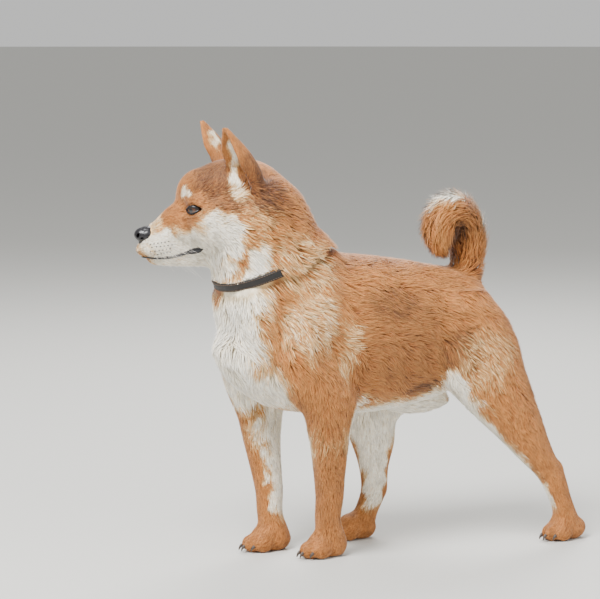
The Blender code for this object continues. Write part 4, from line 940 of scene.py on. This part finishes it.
for side in (1, -1):
    centre, radii = NOSTRIL
    slot = Matrix.Rotation(side * NOSTRIL_TURN, 3, "Z") @ Matrix.Rotation(side * NOSTRIL_SLANT, 3, "Y")
    cuts.append(blob((side * centre[0], centre[1], centre[2]), radii, slot))
    cuts.append(blob(
        (side * 0.0105, -0.1235, -0.0385), (0.0013, 0.0050, 0.0026),
        slot @ Matrix.Rotation(side * 0.9, 3, "Y"),
    ))
cuts.append(tube([(0, -0.1312, z, 0.0006, 0.0011) for z in (-0.030, -0.036, -0.042, -0.048)], sides=8))
cutter = bpy.data.objects.new("nostrils", mesh_of("nostrils", cuts))
bpy.context.scene.collection.objects.link(cutter)
nose = changed(
    nose, ("BOOLEAN", dict(object=cutter, operation="DIFFERENCE", solver="MANIFOLD")),
    ("REMESH", dict(mode="VOXEL", voxel_size=0.00042)), ("SMOOTH", dict(factor=0.5, iterations=4)),
)
bpy.data.objects.remove(cutter)
nose.materials.clear()
nose.materials.append(nose_leather)
nose.shade_smooth()
nose.transform(HEAD_PLACE)
nose_piece = add_piece("nose_pad", nose)
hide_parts("nose")

# The mouth and the whiskers.
# The mouth is closed: two rolls of black lip skin meet in a line from under the nose to the corner of the
# jaw, fuller at the corner. Whiskers stand in rows of dark follicles on the muzzle.
MOUTH_LINE = (
    (0.0350, -0.0495, -0.0545), (0.0320, -0.0570, -0.0560), (0.0300, -0.0640, -0.0575),
    (0.0270, -0.0725, -0.0610), (0.0240, -0.0820, -0.0635), (0.0205, -0.0950, -0.0655),
    (0.0165, -0.1070, -0.0658), (0.0095, -0.1160, -0.0642), (0.0000, -0.1200, -0.0630),
)
LIP_RADIUS, LIP_FULL = 0.0013, 0.0012
lips = []
mouth_path = smooth_path(list(MOUTH_LINE) + [(-x, y, z) for x, y, z in MOUTH_LINE[-2::-1]], 5)
mouth_found = [skin_tree.find_nearest(HEAD_PLACE @ Vector(point)) for point in mouth_path]
head_up = HEAD_PLACE.to_3x3() @ Vector((0, 0, 1))
half = (len(mouth_path) - 1) / 2
for offset in (1, -1):
    rows = []
    for k, (spot, out, _, _) in enumerate(mouth_found):
        from_middle = abs(k - half) / half
        full = LIP_FULL * soft_step(from_middle, 0.62, 0.86) * (1 - soft_step(from_middle, 0.93, 1.0))
        full = LIP_RADIUS + full
        full *= 1 - 0.75 * soft_step(from_middle, 0.95, 1.0)
        rows.append((*(spot + head_up * offset * (full * 0.85) - out * 0.0009), full, full))
    lips.append(tube(rows, across=head_up, sides=12, steps=1))
lip_material = skin_black("lips", 1100, 0.50, 0.0002)
lip_mesh = smoothed_mesh("lips", lips, lip_material)
add_piece("lips", lip_mesh)
# Rows of follicles on the side of the muzzle, in the head's frame: each row's ends.
WHISKER_ROWS = (
    ((0.0165, -0.113, -0.046), (0.0235, -0.086, -0.041)),
    ((0.0160, -0.113, -0.050), (0.0245, -0.084, -0.046)),
    ((0.0160, -0.112, -0.054), (0.0245, -0.084, -0.051)),
    ((0.0160, -0.110, -0.058), (0.0240, -0.086, -0.056)),
)
WHISKERS_IN_ROW, WHISKER_LENGTH, WHISKER_RADIUS = 6, (0.018, 0.046), 0.00016
FOLLICLE_RADIUS = 0.00085
whisker_draw = np.random.default_rng(9)
follicles, whiskers = [], []
to_world = HEAD_PLACE.to_3x3()
for side in (1, -1):
    for row, (front, rear) in enumerate(WHISKER_ROWS):
        for k in range(WHISKERS_IN_ROW):
            share = (k + 0.5 * (row % 2)) / WHISKERS_IN_ROW
            spot = Vector(front).lerp(Vector(rear), share)
            spot, out, _, _ = skin_tree.find_nearest(HEAD_PLACE @ Vector((side * spot.x, spot.y, spot.z)))
            follicles.append(blob(spot + out * 0.0001, (FOLLICLE_RADIUS,) * 3))
            length = WHISKER_LENGTH[0] + (WHISKER_LENGTH[1] - WHISKER_LENGTH[0]) * share
            length *= whisker_draw.uniform(0.8, 1.1)
            way = (out * 0.55 + to_world @ Vector((side * 0.2, 0.75, -0.12 - 0.10 * row))).normalized()
            stations = []
            for t in np.linspace(0, 1, 8):
                sag = to_world @ Vector((0, 0.25, -0.35)) * (length * t * t * 0.5)
                thin = WHISKER_RADIUS * (1 - 0.85 * t)
                stations.append((*(spot + way * length * t + sag), thin, thin))
            whiskers.append(tube(stations, sides=5, steps=1))
add_piece("follicles", smoothed_mesh("follicles", follicles, lip_material, 0))
whisker_finish = Finish("whiskers", roughness=0.35)
tone = whisker_finish.noise(whisker_finish.place(), 60.0, 1.0)
whisker_finish.colour(whisker_finish.mix(tone, paint(206, 198, 184), paint(240, 236, 226)))
add_piece("whiskers", smoothed_mesh("whiskers", whiskers, whisker_finish.material, 0))

# The claws.
# Each toe ends in a short dark horn claw, a tapered hook that grows out from under the hair.
CLAW_LENGTH, CLAW_RADIUS, CLAW_DROOP = 0.0090, 0.0023, math.radians(24)
claw_finish = Finish("claws", specular_ior_level=0.5)
grain = claw_finish.noise(claw_finish.stretched(claw_finish.place(), 1, 0.3, 1), 900.0, 3.0)
claw_finish.colour(claw_finish.mix(grain, paint(38, 32, 30), paint(92, 78, 68)))
claw_finish.rough(0.34 + 0.2 * grain)
claw_finish.bump(grain, 0.0002, 0.5)
for paw_name, (x, y, turn) in PAWS.items():
    place = Matrix.Translation((x, y, 0)) @ Matrix.Rotation(turn, 4, "Z")
    claws = []
    for spot, ahead, size in TOES:
        fan = Matrix.Rotation(-TOE_FAN * spot, 4, "Z")
        tip = Vector((spot * TOE_PITCH, -0.0160 - ahead, 0.0120)) + fan @ Vector((0, -0.0140 * size, -0.0010))
        rows = []
        for t in np.linspace(0, 1, 7):
            thick = CLAW_RADIUS * (1 - t) ** 0.6 + 0.00025
            droop = CLAW_DROOP + 0.5 * t
            along, down = -t * CLAW_LENGTH * math.cos(droop), -t * CLAW_LENGTH * math.sin(droop)
            rows.append((0, along, down, thick * 0.8, thick))
        claws.append(moved(tube(rows, sides=12, steps=1), place @ Matrix.Translation(tip) @ fan))
    claw_mesh = smoothed_mesh("claws_" + paw_name, claws, claw_finish.material)
    add_piece("claws_" + paw_name, claw_mesh)

# The collar.
# A plain strap of dark, waxed leather with a row of stitches along each edge, closed at the nape by a
# steel buckle, with a keeper and a D-ring. The ruff falls over it except under the throat.
COLLAR_MIDDLE, COLLAR_RISE = Vector((-0.006, -0.043, 0.386)), math.radians(21.5)
COLLAR_WIDTH, COLLAR_THICK, COLLAR_TURNS = 0.0118, 0.0028, 120
STITCH_STEP, STITCH_RADIUS = 0.0034, 0.00038
slant = Matrix.Rotation(COLLAR_RISE, 3, "X")
collar_up = slant @ Vector((0, 0, 1))
collar_angle = np.arange(COLLAR_TURNS) * math.tau / COLLAR_TURNS
collar_ways = [slant @ Vector((math.sin(a), -math.cos(a), 0)) for a in collar_angle]
collar_reach = np.array([
    (skin_tree.ray_cast(COLLAR_MIDDLE + way * 0.2, -way)[0] - COLLAR_MIDDLE).length for way in collar_ways
])
for _ in range(60):
    collar_reach = (np.roll(collar_reach, 1) + 2 * collar_reach + np.roll(collar_reach, -1)) / 4
collar_low, collar_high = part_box("collar")
flat_reach = collar_reach * np.abs([way.x for way in collar_ways])
collar_reach *= (collar_high.x - collar_low.x) / 2 / flat_reach.max()
COLLAR_PROUD, COLLAR_SHOWS = 0.0022, (math.radians(62), math.radians(80))
collar_reach += COLLAR_PROUD


def on_collar(angle, out, high):
    """A place on the strap: its angle from the throat, then how far out from its face and how far up."""
    reach = float(np.interp(angle % math.tau, collar_angle, collar_reach, period=math.tau)) + out
    way = slant @ Vector((math.sin(angle), -math.cos(angle), 0))
    return COLLAR_MIDDLE + way * reach + collar_up * high


def strap(angles, wide, thick, out=0.0, round_by=0.35):
    """A band along these angles with softly rounded edges, closed on itself if it goes right round."""
    half, edge = wide / 2, thick * round_by
    section = (
        (-thick, -half + edge), (-thick + edge, -half), (-edge, -half), (0, -half + edge), (0, half - edge),
        (-edge, half), (-thick + edge, half), (-thick, half - edge),
    )
    points = np.array([on_collar(angle, out + r, h) for angle in angles for r, h in section])
    count, sides = len(angles), len(section)
    whole = abs(angles[-1] - angles[0]) > 6.0
    faces = []
    for i in range(count if whole else count - 1):
        low, high = i * sides, (i + 1) % count * sides
        faces += [(low + k, low + (k + 1) % sides, high + (k + 1) % sides, high + k) for k in range(sides)]
    if not whole:
        faces += [tuple(range(sides)), tuple(range((count - 1) * sides, count * sides))]
    return points, faces


leather = Finish("collar_leather", specular_ior_level=0.5)
where = leather.place()
grain = leather.make("ShaderNodeTexVoronoi", dict(feature="DISTANCE_TO_EDGE"), Vector=where, Scale=900.0)
wear = leather.noise(where, 45.0, 4.0)
leather.colour(leather.mix(wear.between(0.42, 0.72), paint(16, 13, 12), paint(38, 28, 24)))
leather.rough(0.42 + 0.25 * wear)
leather.bump(0.6 * grain.between(0.0, 0.25) + 0.4 * wear, 0.0003, 0.6)
collar_shape = strap(collar_angle, COLLAR_WIDTH, COLLAR_THICK)
collar_mesh = smoothed_mesh("collar_strap", [collar_shape], leather.material)
collar_piece = add_piece("collar_strap", collar_mesh)
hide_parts("collar")
stitches = []
path = np.array([on_collar(a, 0, 0) for a in np.append(collar_angle, math.tau)])
around = float(np.linalg.norm(np.diff(path, axis=0), axis=1).sum())
count = int(around / STITCH_STEP)
STITCH_FROM_EDGE, STITCH_ARCH = 0.0018, ((0.15, -0.0002), (0.5, 0.0003), (0.85, -0.0002))
for k in range(count):
    for edge in (-1, 1):
        high = edge * (COLLAR_WIDTH / 2 - STITCH_FROM_EDGE)
        rows = [
            (*on_collar((k + t) * (math.tau / count), out, high), STITCH_RADIUS, STITCH_RADIUS)
            for t, out in STITCH_ARCH
        ]
        stitches.append(tube(rows, (0, 0.3, 1), sides=6, steps=1))
thread = Finish("thread", roughness=0.75)
tone = thread.noise(thread.place(), 500.0)
thread.colour(thread.mix(tone, paint(70, 54, 42), paint(112, 90, 70)))
thread.bump(tone, 0.0001)
stitch_mesh = smoothed_mesh("collar_stitches", stitches, thread.material, 0)
add_piece("collar_stitches", stitch_mesh)
steel = Finish("collar_steel", metallic=1.0, base_color=paint(176, 174, 168))
scratches = steel.noise(steel.stretched(steel.place(), 900, 60, 900), 1.0, 2.0)
steel.rough(0.24 + 0.2 * scratches)
steel.bump(scratches, 0.00005, 0.5)
BUCKLE_ANGLE, BUCKLE_HALF, WIRE = math.pi * 0.97, 0.0092, 0.0011
KEEPER_AWAY, RING_AWAY = 0.020, -0.021


def wire_loop(middle, corners, radius, sides=10):
    """A closed wire through corners given as distance along the strap, out and up, rounded at each."""
    rows = []
    arc = 1 / float(np.interp(middle % math.tau, collar_angle, collar_reach, period=math.tau))
    for trio in zip(corners[-1:] + corners[:-1], corners, corners[1:] + corners[:1]):
        for t in (0.25, 0.5, 0.75):
            away, out, high = [
                (1 - t) ** 2 * (u + v) / 2 + 2 * t * (1 - t) * v + t * t * (v + w) / 2
                for u, v, w in zip(*trio)
            ]
            rows.append(on_collar(middle + away * arc, out, high))
    return ring_loop(rows, [radius] * len(rows), sides)


half = COLLAR_WIDTH / 2 + 0.0022
frame_corners = [
    (-BUCKLE_HALF, 0.001, -half), (BUCKLE_HALF, 0.0016, -half),
    (BUCKLE_HALF, 0.0016, half), (-BUCKLE_HALF, 0.001, half),
]
arc = 1 / float(np.interp(BUCKLE_ANGLE, collar_angle, collar_reach, period=math.tau))
# The prong: how far along the strap and how far out it is at five places.
PRONG_RADIUS, PRONG = 0.0009, (
    (-BUCKLE_HALF, 0.0012), (-BUCKLE_HALF * 0.5, 0.0018), (0, 0.0020), (BUCKLE_HALF * 0.6, 0.0022),
    (BUCKLE_HALF + 0.001, 0.0026),
)
prong = [(*on_collar(BUCKLE_ANGLE + away * arc, out, 0), PRONG_RADIUS, PRONG_RADIUS) for away, out in PRONG]
ring_corners = [
    (RING_AWAY - 0.009, 0.001, 0.0), (RING_AWAY - 0.009, 0.0015, -0.011), (RING_AWAY, 0.0022, -0.0175),
    (RING_AWAY + 0.009, 0.0015, -0.011), (RING_AWAY + 0.009, 0.001, 0.0),
]
metal = [
    wire_loop(BUCKLE_ANGLE, frame_corners, WIRE), tube(prong, (0, 0, 1), sides=8, steps=1),
    wire_loop(BUCKLE_ANGLE, ring_corners, WIRE * 0.9),
]
add_piece("collar_buckle", smoothed_mesh("collar_buckle", metal, steel.material))
keepers = [
    strap(BUCKLE_ANGLE + (away + np.linspace(-w, w, 8)) * arc, COLLAR_WIDTH + 0.0016, 0.0034, 0.0014)
    for away, w in ((KEEPER_AWAY, 0.0028), (RING_AWAY, 0.0034))
]
keepers.append(strap(BUCKLE_ANGLE + np.linspace(0, 0.046, 24) * arc, COLLAR_WIDTH - 0.0006, 0.0020, 0.0016))
keeper_mesh = smoothed_mesh("collar_keepers", keepers, leather.material)
add_piece("collar_keepers", keeper_mesh)

# The hair.
# Each tuft is a closed, flattened, tapering lock of hairs, rooted in the hide. It follows the lie of the
# coat in two steps over the outline, and leans to its neighbours so that the locks gather in points.
TUFT_SEED = 21
TUFTS = 224000
SHORT_HAIR_SHARE, FINER = 0.62, 0.66
hide_uv = np.zeros(len(hide.loops) * 2)
hide.uv_layers["OFBake"].data.foreach_get("uv", hide_uv)
hide_uv = hide_uv.reshape(-1, 2)
hide.calc_loop_triangles()
hide_corners = np.array([t.vertices for t in hide.loop_triangles])
hide_loops = np.array([t.loops for t in hide.loop_triangles])
hide_tree = bvhtree.BVHTree.FromPolygons(hide_points.tolist(), hide_corners.tolist())


def on_outline(points):
    """The nearest places of the outline, with the smooth normal and the coat there."""
    found = [skin_tree.find_nearest(point) for point in points.tolist()]
    index = triangles[[row[2] for row in found]]
    place = np.array([row[0] for row in found])
    return place, unit(normals[index].sum(1)), unit(lie[index].sum(1)), coat_depth[index].mean(1)


def turned(way, normal, angle):
    """A way along the surface, turned about its normal."""
    return way * np.cos(angle)[:, None] + np.cross(normal, way) * np.sin(angle)[:, None]


draw = np.random.default_rng(TUFT_SEED)
corners = surface[triangles]
area = np.linalg.norm(np.cross(corners[:, 1] - corners[:, 0], corners[:, 2] - corners[:, 0]), axis=1) / 2
reach = np.maximum(hair_length[triangles].mean(1), 0.004)
wide = tuft_width[triangles].mean(1)
wish = area / (reach * wide) ** SHORT_HAIR_SHARE
wish[corners[:, :, 2].max(1) < 0.0045] = 0
chosen = draw.choice(len(triangles), TUFTS, p=wish / wish.sum())
share = draw.random((TUFTS, 2))
share = np.where(share.sum(1, keepdims=True) > 1, 1 - share, share)
share = np.column_stack([1 - share.sum(1), share])[:, :, None]
roots = (corners[chosen] * share).sum(1)
eye_local = [to_eye(roots, side) for side in (1, -1)]
FAR = 9
open_eye = np.min([np.where(e[:, 1] < 0, almond(e[:, 0], e[:, 2]), FAR) for e in eye_local], axis=0)
head_roots = in_head(roots)
BARE_NOSE, BARE_EYE, BARE_LIP, NECK_REACH = 0.0006, 1.22, 0.0021, 0.12
on_nose = np.min([
    np.linalg.norm((head_roots - np.array(spot)) / (np.array(radii) + BARE_NOSE), axis=1)
    for spot, radii in NOSE_SHAPES
], axis=0)
mouth_rows = smooth_path(list(MOUTH_LINE), 5)
folded = head_roots.copy()
folded[:, 0] = np.abs(folded[:, 0])
off_mouth = np.linalg.norm(folded[:, None] - mouth_rows[None, :, :], axis=2).min(1)
height = (roots - np.array(COLLAR_MIDDLE)) @ np.array(collar_up)
near_neck = np.linalg.norm(roots - np.array(COLLAR_MIDDLE), axis=1) < NECK_REACH
under_strap = near_neck & (np.abs(height) < COLLAR_WIDTH / 2)
keep = (open_eye > BARE_EYE) & (on_nose > 1) & (off_mouth > BARE_LIP) & ~under_strap
roots, chosen, share = roots[keep], chosen[keep], share[keep]
normal = unit((normals[triangles[chosen]] * share).sum(1))
way = unit((lie[triangles[chosen]] * share).sum(1))


def at_roots(values):
    """A number of the outline's corners, at the roots."""
    return (values[triangles[chosen]][:, :, None] * share).sum((1, 2))


LENGTH_VARIES, WIDTH_VARIES, LONG_HAIR = (0.72, 1.22), (0.7, 1.3), (0.008, 0.022)
length = at_roots(hair_length) * draw.uniform(*LENGTH_VARIES, len(roots))
width = at_roots(tuft_width) * draw.uniform(*WIDTH_VARIES, len(roots)) * FINER
stand = at_roots(hair_stand)
depth = at_roots(coat_depth)
long_hair = soft_step(length, *LONG_HAIR)
# Above the strap the hair stops short of it in front, and falls over it round the sides and nape.
above, around = height[keep] - COLLAR_WIDTH / 2, (roots - np.array(COLLAR_MIDDLE)) @ np.array(slant)
shows = soft_step(-np.abs(np.arctan2(around[:, 0], -around[:, 1])), -COLLAR_SHOWS[1], -COLLAR_SHOWS[0])
drop = np.maximum(-(way @ np.array(collar_up)), 0.15)
room = np.where((above > 0) & near_neck[keep], above / drop, 1.0)
length = np.where((shows > 0.5) & (room < length), np.maximum(room, 0.003), length)
over_strap = (1 - shows) * near_neck[keep] * soft_step(-above, -0.030, -0.020) * (above > 0)
WANDER_SHORT, WANDER_LONG, WANDER_SIZE, STRAY = 0.10, 0.28, 0.038, 0.09
angle = (WANDER_SHORT + WANDER_LONG * long_hair) * mottle(roots, WANDER_SIZE)
angle = angle + draw.normal(0, STRAY, len(roots))
way = turned(way, normal, angle)
middle, middle_normal, middle_lie, middle_depth = on_outline(roots + way * length[:, None] * 0.5)
middle_way = turned(middle_lie, middle_normal, angle)
tip, tip_normal, _, tip_depth = on_outline(middle + middle_way * length[:, None] * 0.5)
CLUMP_ONE_IN, CLUMP_PULL = 22, 0.55
heads = np.flatnonzero(draw.random(len(roots)) < 1 / CLUMP_ONE_IN)
clumps = kdtree.KDTree(len(heads))
for index in heads:
    clumps.insert(roots[index], index)
clumps.balance()
leader = np.array([clumps.find(point)[1] for point in roots.tolist()])
pull = (CLUMP_PULL * long_hair)[:, None] * draw.uniform(0.4, 1.0, (len(roots), 1))
near = np.linalg.norm(roots[leader] - roots, axis=1) < 0.6 * length
gathered = tip + (tip[leader] + 0.25 * (roots - roots[leader]) - tip) * pull
tip = np.where(near[:, None], gathered, tip)
ROOT_SUNK, STRAP_LIFT = 0.0006, 0.0045
root_point = roots - normal * (depth + ROOT_SUNK)[:, None]
under = -0.8 * STRAP_LIFT * over_strap + middle_depth * draw.uniform(0.15, 0.55, len(roots))
under = under - 0.25 * stand * draw.random(len(roots))
middle_point = middle - middle_normal * under[:, None]
lift = tip_depth * draw.uniform(-0.30, 0.05, len(roots)) + stand * draw.random(len(roots)) ** 1.5
lift += over_strap * STRAP_LIFT
tip_point = tip + tip_normal * lift[:, None]
FLATNESS = 0.28
RING = np.array([(-0.5, -0.3), (0.5, -0.3), (0.0, 0.6)])
side = unit(np.cross(tip_point - root_point, middle_normal))
rise = unit(np.cross(side, tip_point - root_point))
ring = side[:, None] * RING[None, :, :1] + rise[:, None] * RING[None, :, 1:] * FLATNESS
ring = middle_point[:, None] + ring * width[:, None, None]
points = np.concatenate([root_point[:, None], ring, tip_point[:, None]], axis=1)
OFF_FLOOR, SOFT = 0.0016, 0.55
points[:, :, 2] = np.maximum(points[:, :, 2], OFF_FLOOR)
ring_out = unit(ring - middle_point[:, None])
body_out = np.stack([normal, middle_normal, middle_normal, middle_normal, tip_normal], axis=1)
own_out = np.concatenate([rise[:, None], ring_out, rise[:, None]], axis=1)
tuft_normals = unit(body_out * SOFT + own_out * (1 - SOFT))
CORNERS = 5
TUFT_FACES = np.array([(0, 1, 2), (0, 2, 3), (0, 3, 1), (4, 2, 1), (4, 3, 2), (4, 1, 3)])
PATCH = 0.003
PATCH_UV = np.array([(0.0, -0.5), (-0.5, 0.0), (0.5, 0.0), (0.0, 0.0), (0.0, 0.5)]) * PATCH
found = [hide_tree.find_nearest(point) for point in root_point.tolist()]
index = np.array([row[2] for row in found])
spots = np.array([row[0] for row in found])
base = hide_points[hide_corners[index]]
parts = np.stack([
    np.linalg.norm(np.cross(base[:, (k + 1) % 3] - spots, base[:, (k + 2) % 3] - spots), axis=1)
    for k in range(3)
], axis=1) + 1e-12
tuft_uv = (hide_uv[hide_loops[index]] * (parts / parts.sum(1, keepdims=True))[:, :, None]).sum(1)
tuft_uv = np.clip(tuft_uv, PATCH / 2, 1 - PATCH / 2)
tuft_cream, tuft_dark = marked(roots)
CREAM_LOOSE, DARK_LOOSE, SESAME = 0.60, 0.9, 0.07
tuft_cream = np.clip((tuft_cream - 0.5) * 1.35 + 0.5 + CREAM_LOOSE * (draw.random(len(roots)) - 0.5), 0, 1)
tuft_dark = np.clip(tuft_dark * (0.4 + DARK_LOOSE * draw.random(len(roots))), 0, 1)
sesame = (draw.random(len(roots)) < SESAME) * draw.uniform(0.3, 0.9, len(roots)) * (tuft_cream < 0.4)
tuft_dark = np.maximum(tuft_dark, sesame)
chance = np.clip(draw.normal(0.5, 0.2, len(roots)) + 0.18 * mottle(roots, 0.016), 0, 1)
ALONG = np.array([0.0, 0.45, 0.45, 0.5, 1.0])


def hair_piece(name, rows):
    """The tufts of these rows as one mesh."""
    count = len(rows)
    mesh = bpy.data.meshes.new(name)
    faces = (TUFT_FACES[None] + CORNERS * np.arange(count)[:, None, None]).reshape(-1, 3)
    mesh.vertices.add(count * CORNERS)
    mesh.vertices.foreach_set("co", points[rows].astype(np.float32).ravel())
    mesh.loops.add(faces.size)
    mesh.loops.foreach_set("vertex_index", faces.astype(np.int32).ravel())
    mesh.polygons.add(len(faces))
    mesh.polygons.foreach_set("loop_start", np.arange(0, faces.size, 3, dtype=np.int32))
    mesh.update(calc_edges=True)
    mesh.validate()
    uv = (tuft_uv[rows][:, None] + PATCH_UV[None]).reshape(-1, 2)[faces.ravel()]
    mesh.uv_layers.new(name="OFBake").data.foreach_set("uv", uv.astype(np.float32).ravel())
    fields = [np.repeat(values[rows], CORNERS) for values in (tuft_cream, tuft_dark, chance)]
    give_fields(mesh, fields[0], fields[1], np.tile(ALONG, count), fields[2])
    mesh.materials.append(hair_finish)
    mesh.shade_smooth()
    soft = tuft_normals[rows].reshape(-1, 3)
    mesh.normals_split_custom_set_from_vertices(soft.tolist())
    piece = add_piece(name, mesh)
    return piece


# Where the coat is parted into pieces, by the place of each root.
MOST_TUFTS = 32000
local = in_head(roots)
x, y, z = roots.T
ears = ear_share(roots) > 0.5
by_tail = soft_step(-near_line(roots, TAIL)[0], -TAIL_NEAR[1], -TAIL_NEAR[0]) > 0.5
tails = by_tail & (z > TAIL_FOOT[0]) & (y > 0.12)
heads_share = (np.linalg.norm((local - (0, -0.03, 0)) / (0.085, 0.105, 0.105), axis=1) < 1) & ~ears
names = np.full(len(roots), "coat_trunk", dtype=object)
names[(z > 0.350) & (y < 0.045)] = "coat_neck"
names[(z <= 0.350) & (y < 0.005)] = "coat_chest"
names[(z < 0.185) & (y < 0.085)] = "coat_forelegs"
names[(z < 0.215) & (y >= 0.085) & ((np.abs(x) > 0.030) | (z < 0.16))] = "coat_hindlegs"
names[z < 0.042] = "coat_paws"
names[heads_share] = "coat_head"
names[ears] = "coat_ears"
names[tails] = "coat_tail"
for name in sorted(set(names)):
    rows = np.flatnonzero(names == name)
    halves = {"left": rows[local[rows, 0] > 0] if name in ("coat_head", "coat_ears") else rows[x[rows] > 0]}
    halves["right"] = np.setdiff1d(rows, halves["left"])
    for side, some in halves.items():
        some = some[np.argsort(y[some], kind="stable")]
        shares = np.array_split(some, -(-len(some) // MOST_TUFTS))
        for number, group_rows in enumerate(shares):
            suffix = f"_{number + 1}" if len(shares) > 1 else ""
            hair_piece(f"{name}_{side}{suffix}", group_rows)

# The studio.
# A plain pale floor under an even pale sky, with a large key lamp ahead of the dog, a fill on its left
# and a back lamp behind it.
floor = bpy.data.meshes.new("floor")
turn = np.linspace(0, math.tau, 96, endpoint=False)
floor.from_pydata([(60 * math.cos(a), 60 * math.sin(a), 0) for a in turn], [], [tuple(range(96))])
floor_piece = bpy.data.objects.new("floor", floor)
bpy.context.scene.collection.objects.link(floor_piece)
floor.materials.append(Finish("floor", base_color=paint(196, 195, 190), roughness=0.8).material)
sky = bpy.data.worlds.new("studio")
bpy.context.scene.world = sky
sky.use_nodes = True
sky.node_tree.nodes["Background"].inputs[0].default_value = (0.86, 0.86, 0.85, 1)
sky.node_tree.nodes["Background"].inputs[1].default_value = 0.80
MIDDLE = IN_FRAME @ Vector((0, 0.1, 0.28))
for name, offset, size, power in (
    ("key", (0.9, -1.8, 2.6), 1.6, 260), ("fill", (2.4, 0.8, 1.0), 2.4, 34),
    ("back", (-1.6, 1.2, 2.0), 1.4, 80),
):
    light = bpy.data.lights.new(name, "AREA")
    light.shape, light.size, light.energy = "DISK", size, power
    lamp = bpy.data.objects.new(name, light)
    bpy.context.scene.collection.objects.link(lamp)
    lamp.location = MIDDLE + Vector(offset)
    lamp.rotation_euler = (-Vector(offset)).to_track_quat("-Z", "Y").to_euler()

# The camera.
# It stands on the dog's left, ahead of it and a little above, and sees the dog in the photo's own frame.
TARGET, TARGET_PIXEL = Vector((-0.0286, 0.0989, 0.28)), (355, 335)
TURN, RISE, AWAY, FOCAL_PIXELS = math.radians(60), math.radians(7.5), 3.2, 2400
back = Vector((math.sin(TURN) * math.cos(RISE), -math.cos(TURN) * math.cos(RISE), math.sin(RISE)))
right = Vector((0, 0, 1)).cross(back).normalized()
up = back.cross(right)
aim = -back * FOCAL_PIXELS + right * (300 - TARGET_PIXEL[0]) + up * (TARGET_PIXEL[1] - 299.5)
camera = bpy.data.objects.new("camera", bpy.data.cameras.new("camera"))
bpy.context.scene.collection.objects.link(camera)
camera.data.sensor_width, camera.data.lens = 36, 36 * FOCAL_PIXELS / 600
camera.location = IN_FRAME @ (TARGET + back * AWAY)
camera.rotation_euler = aim.to_track_quat("-Z", "Y").to_euler()
bpy.context.scene.camera = camera
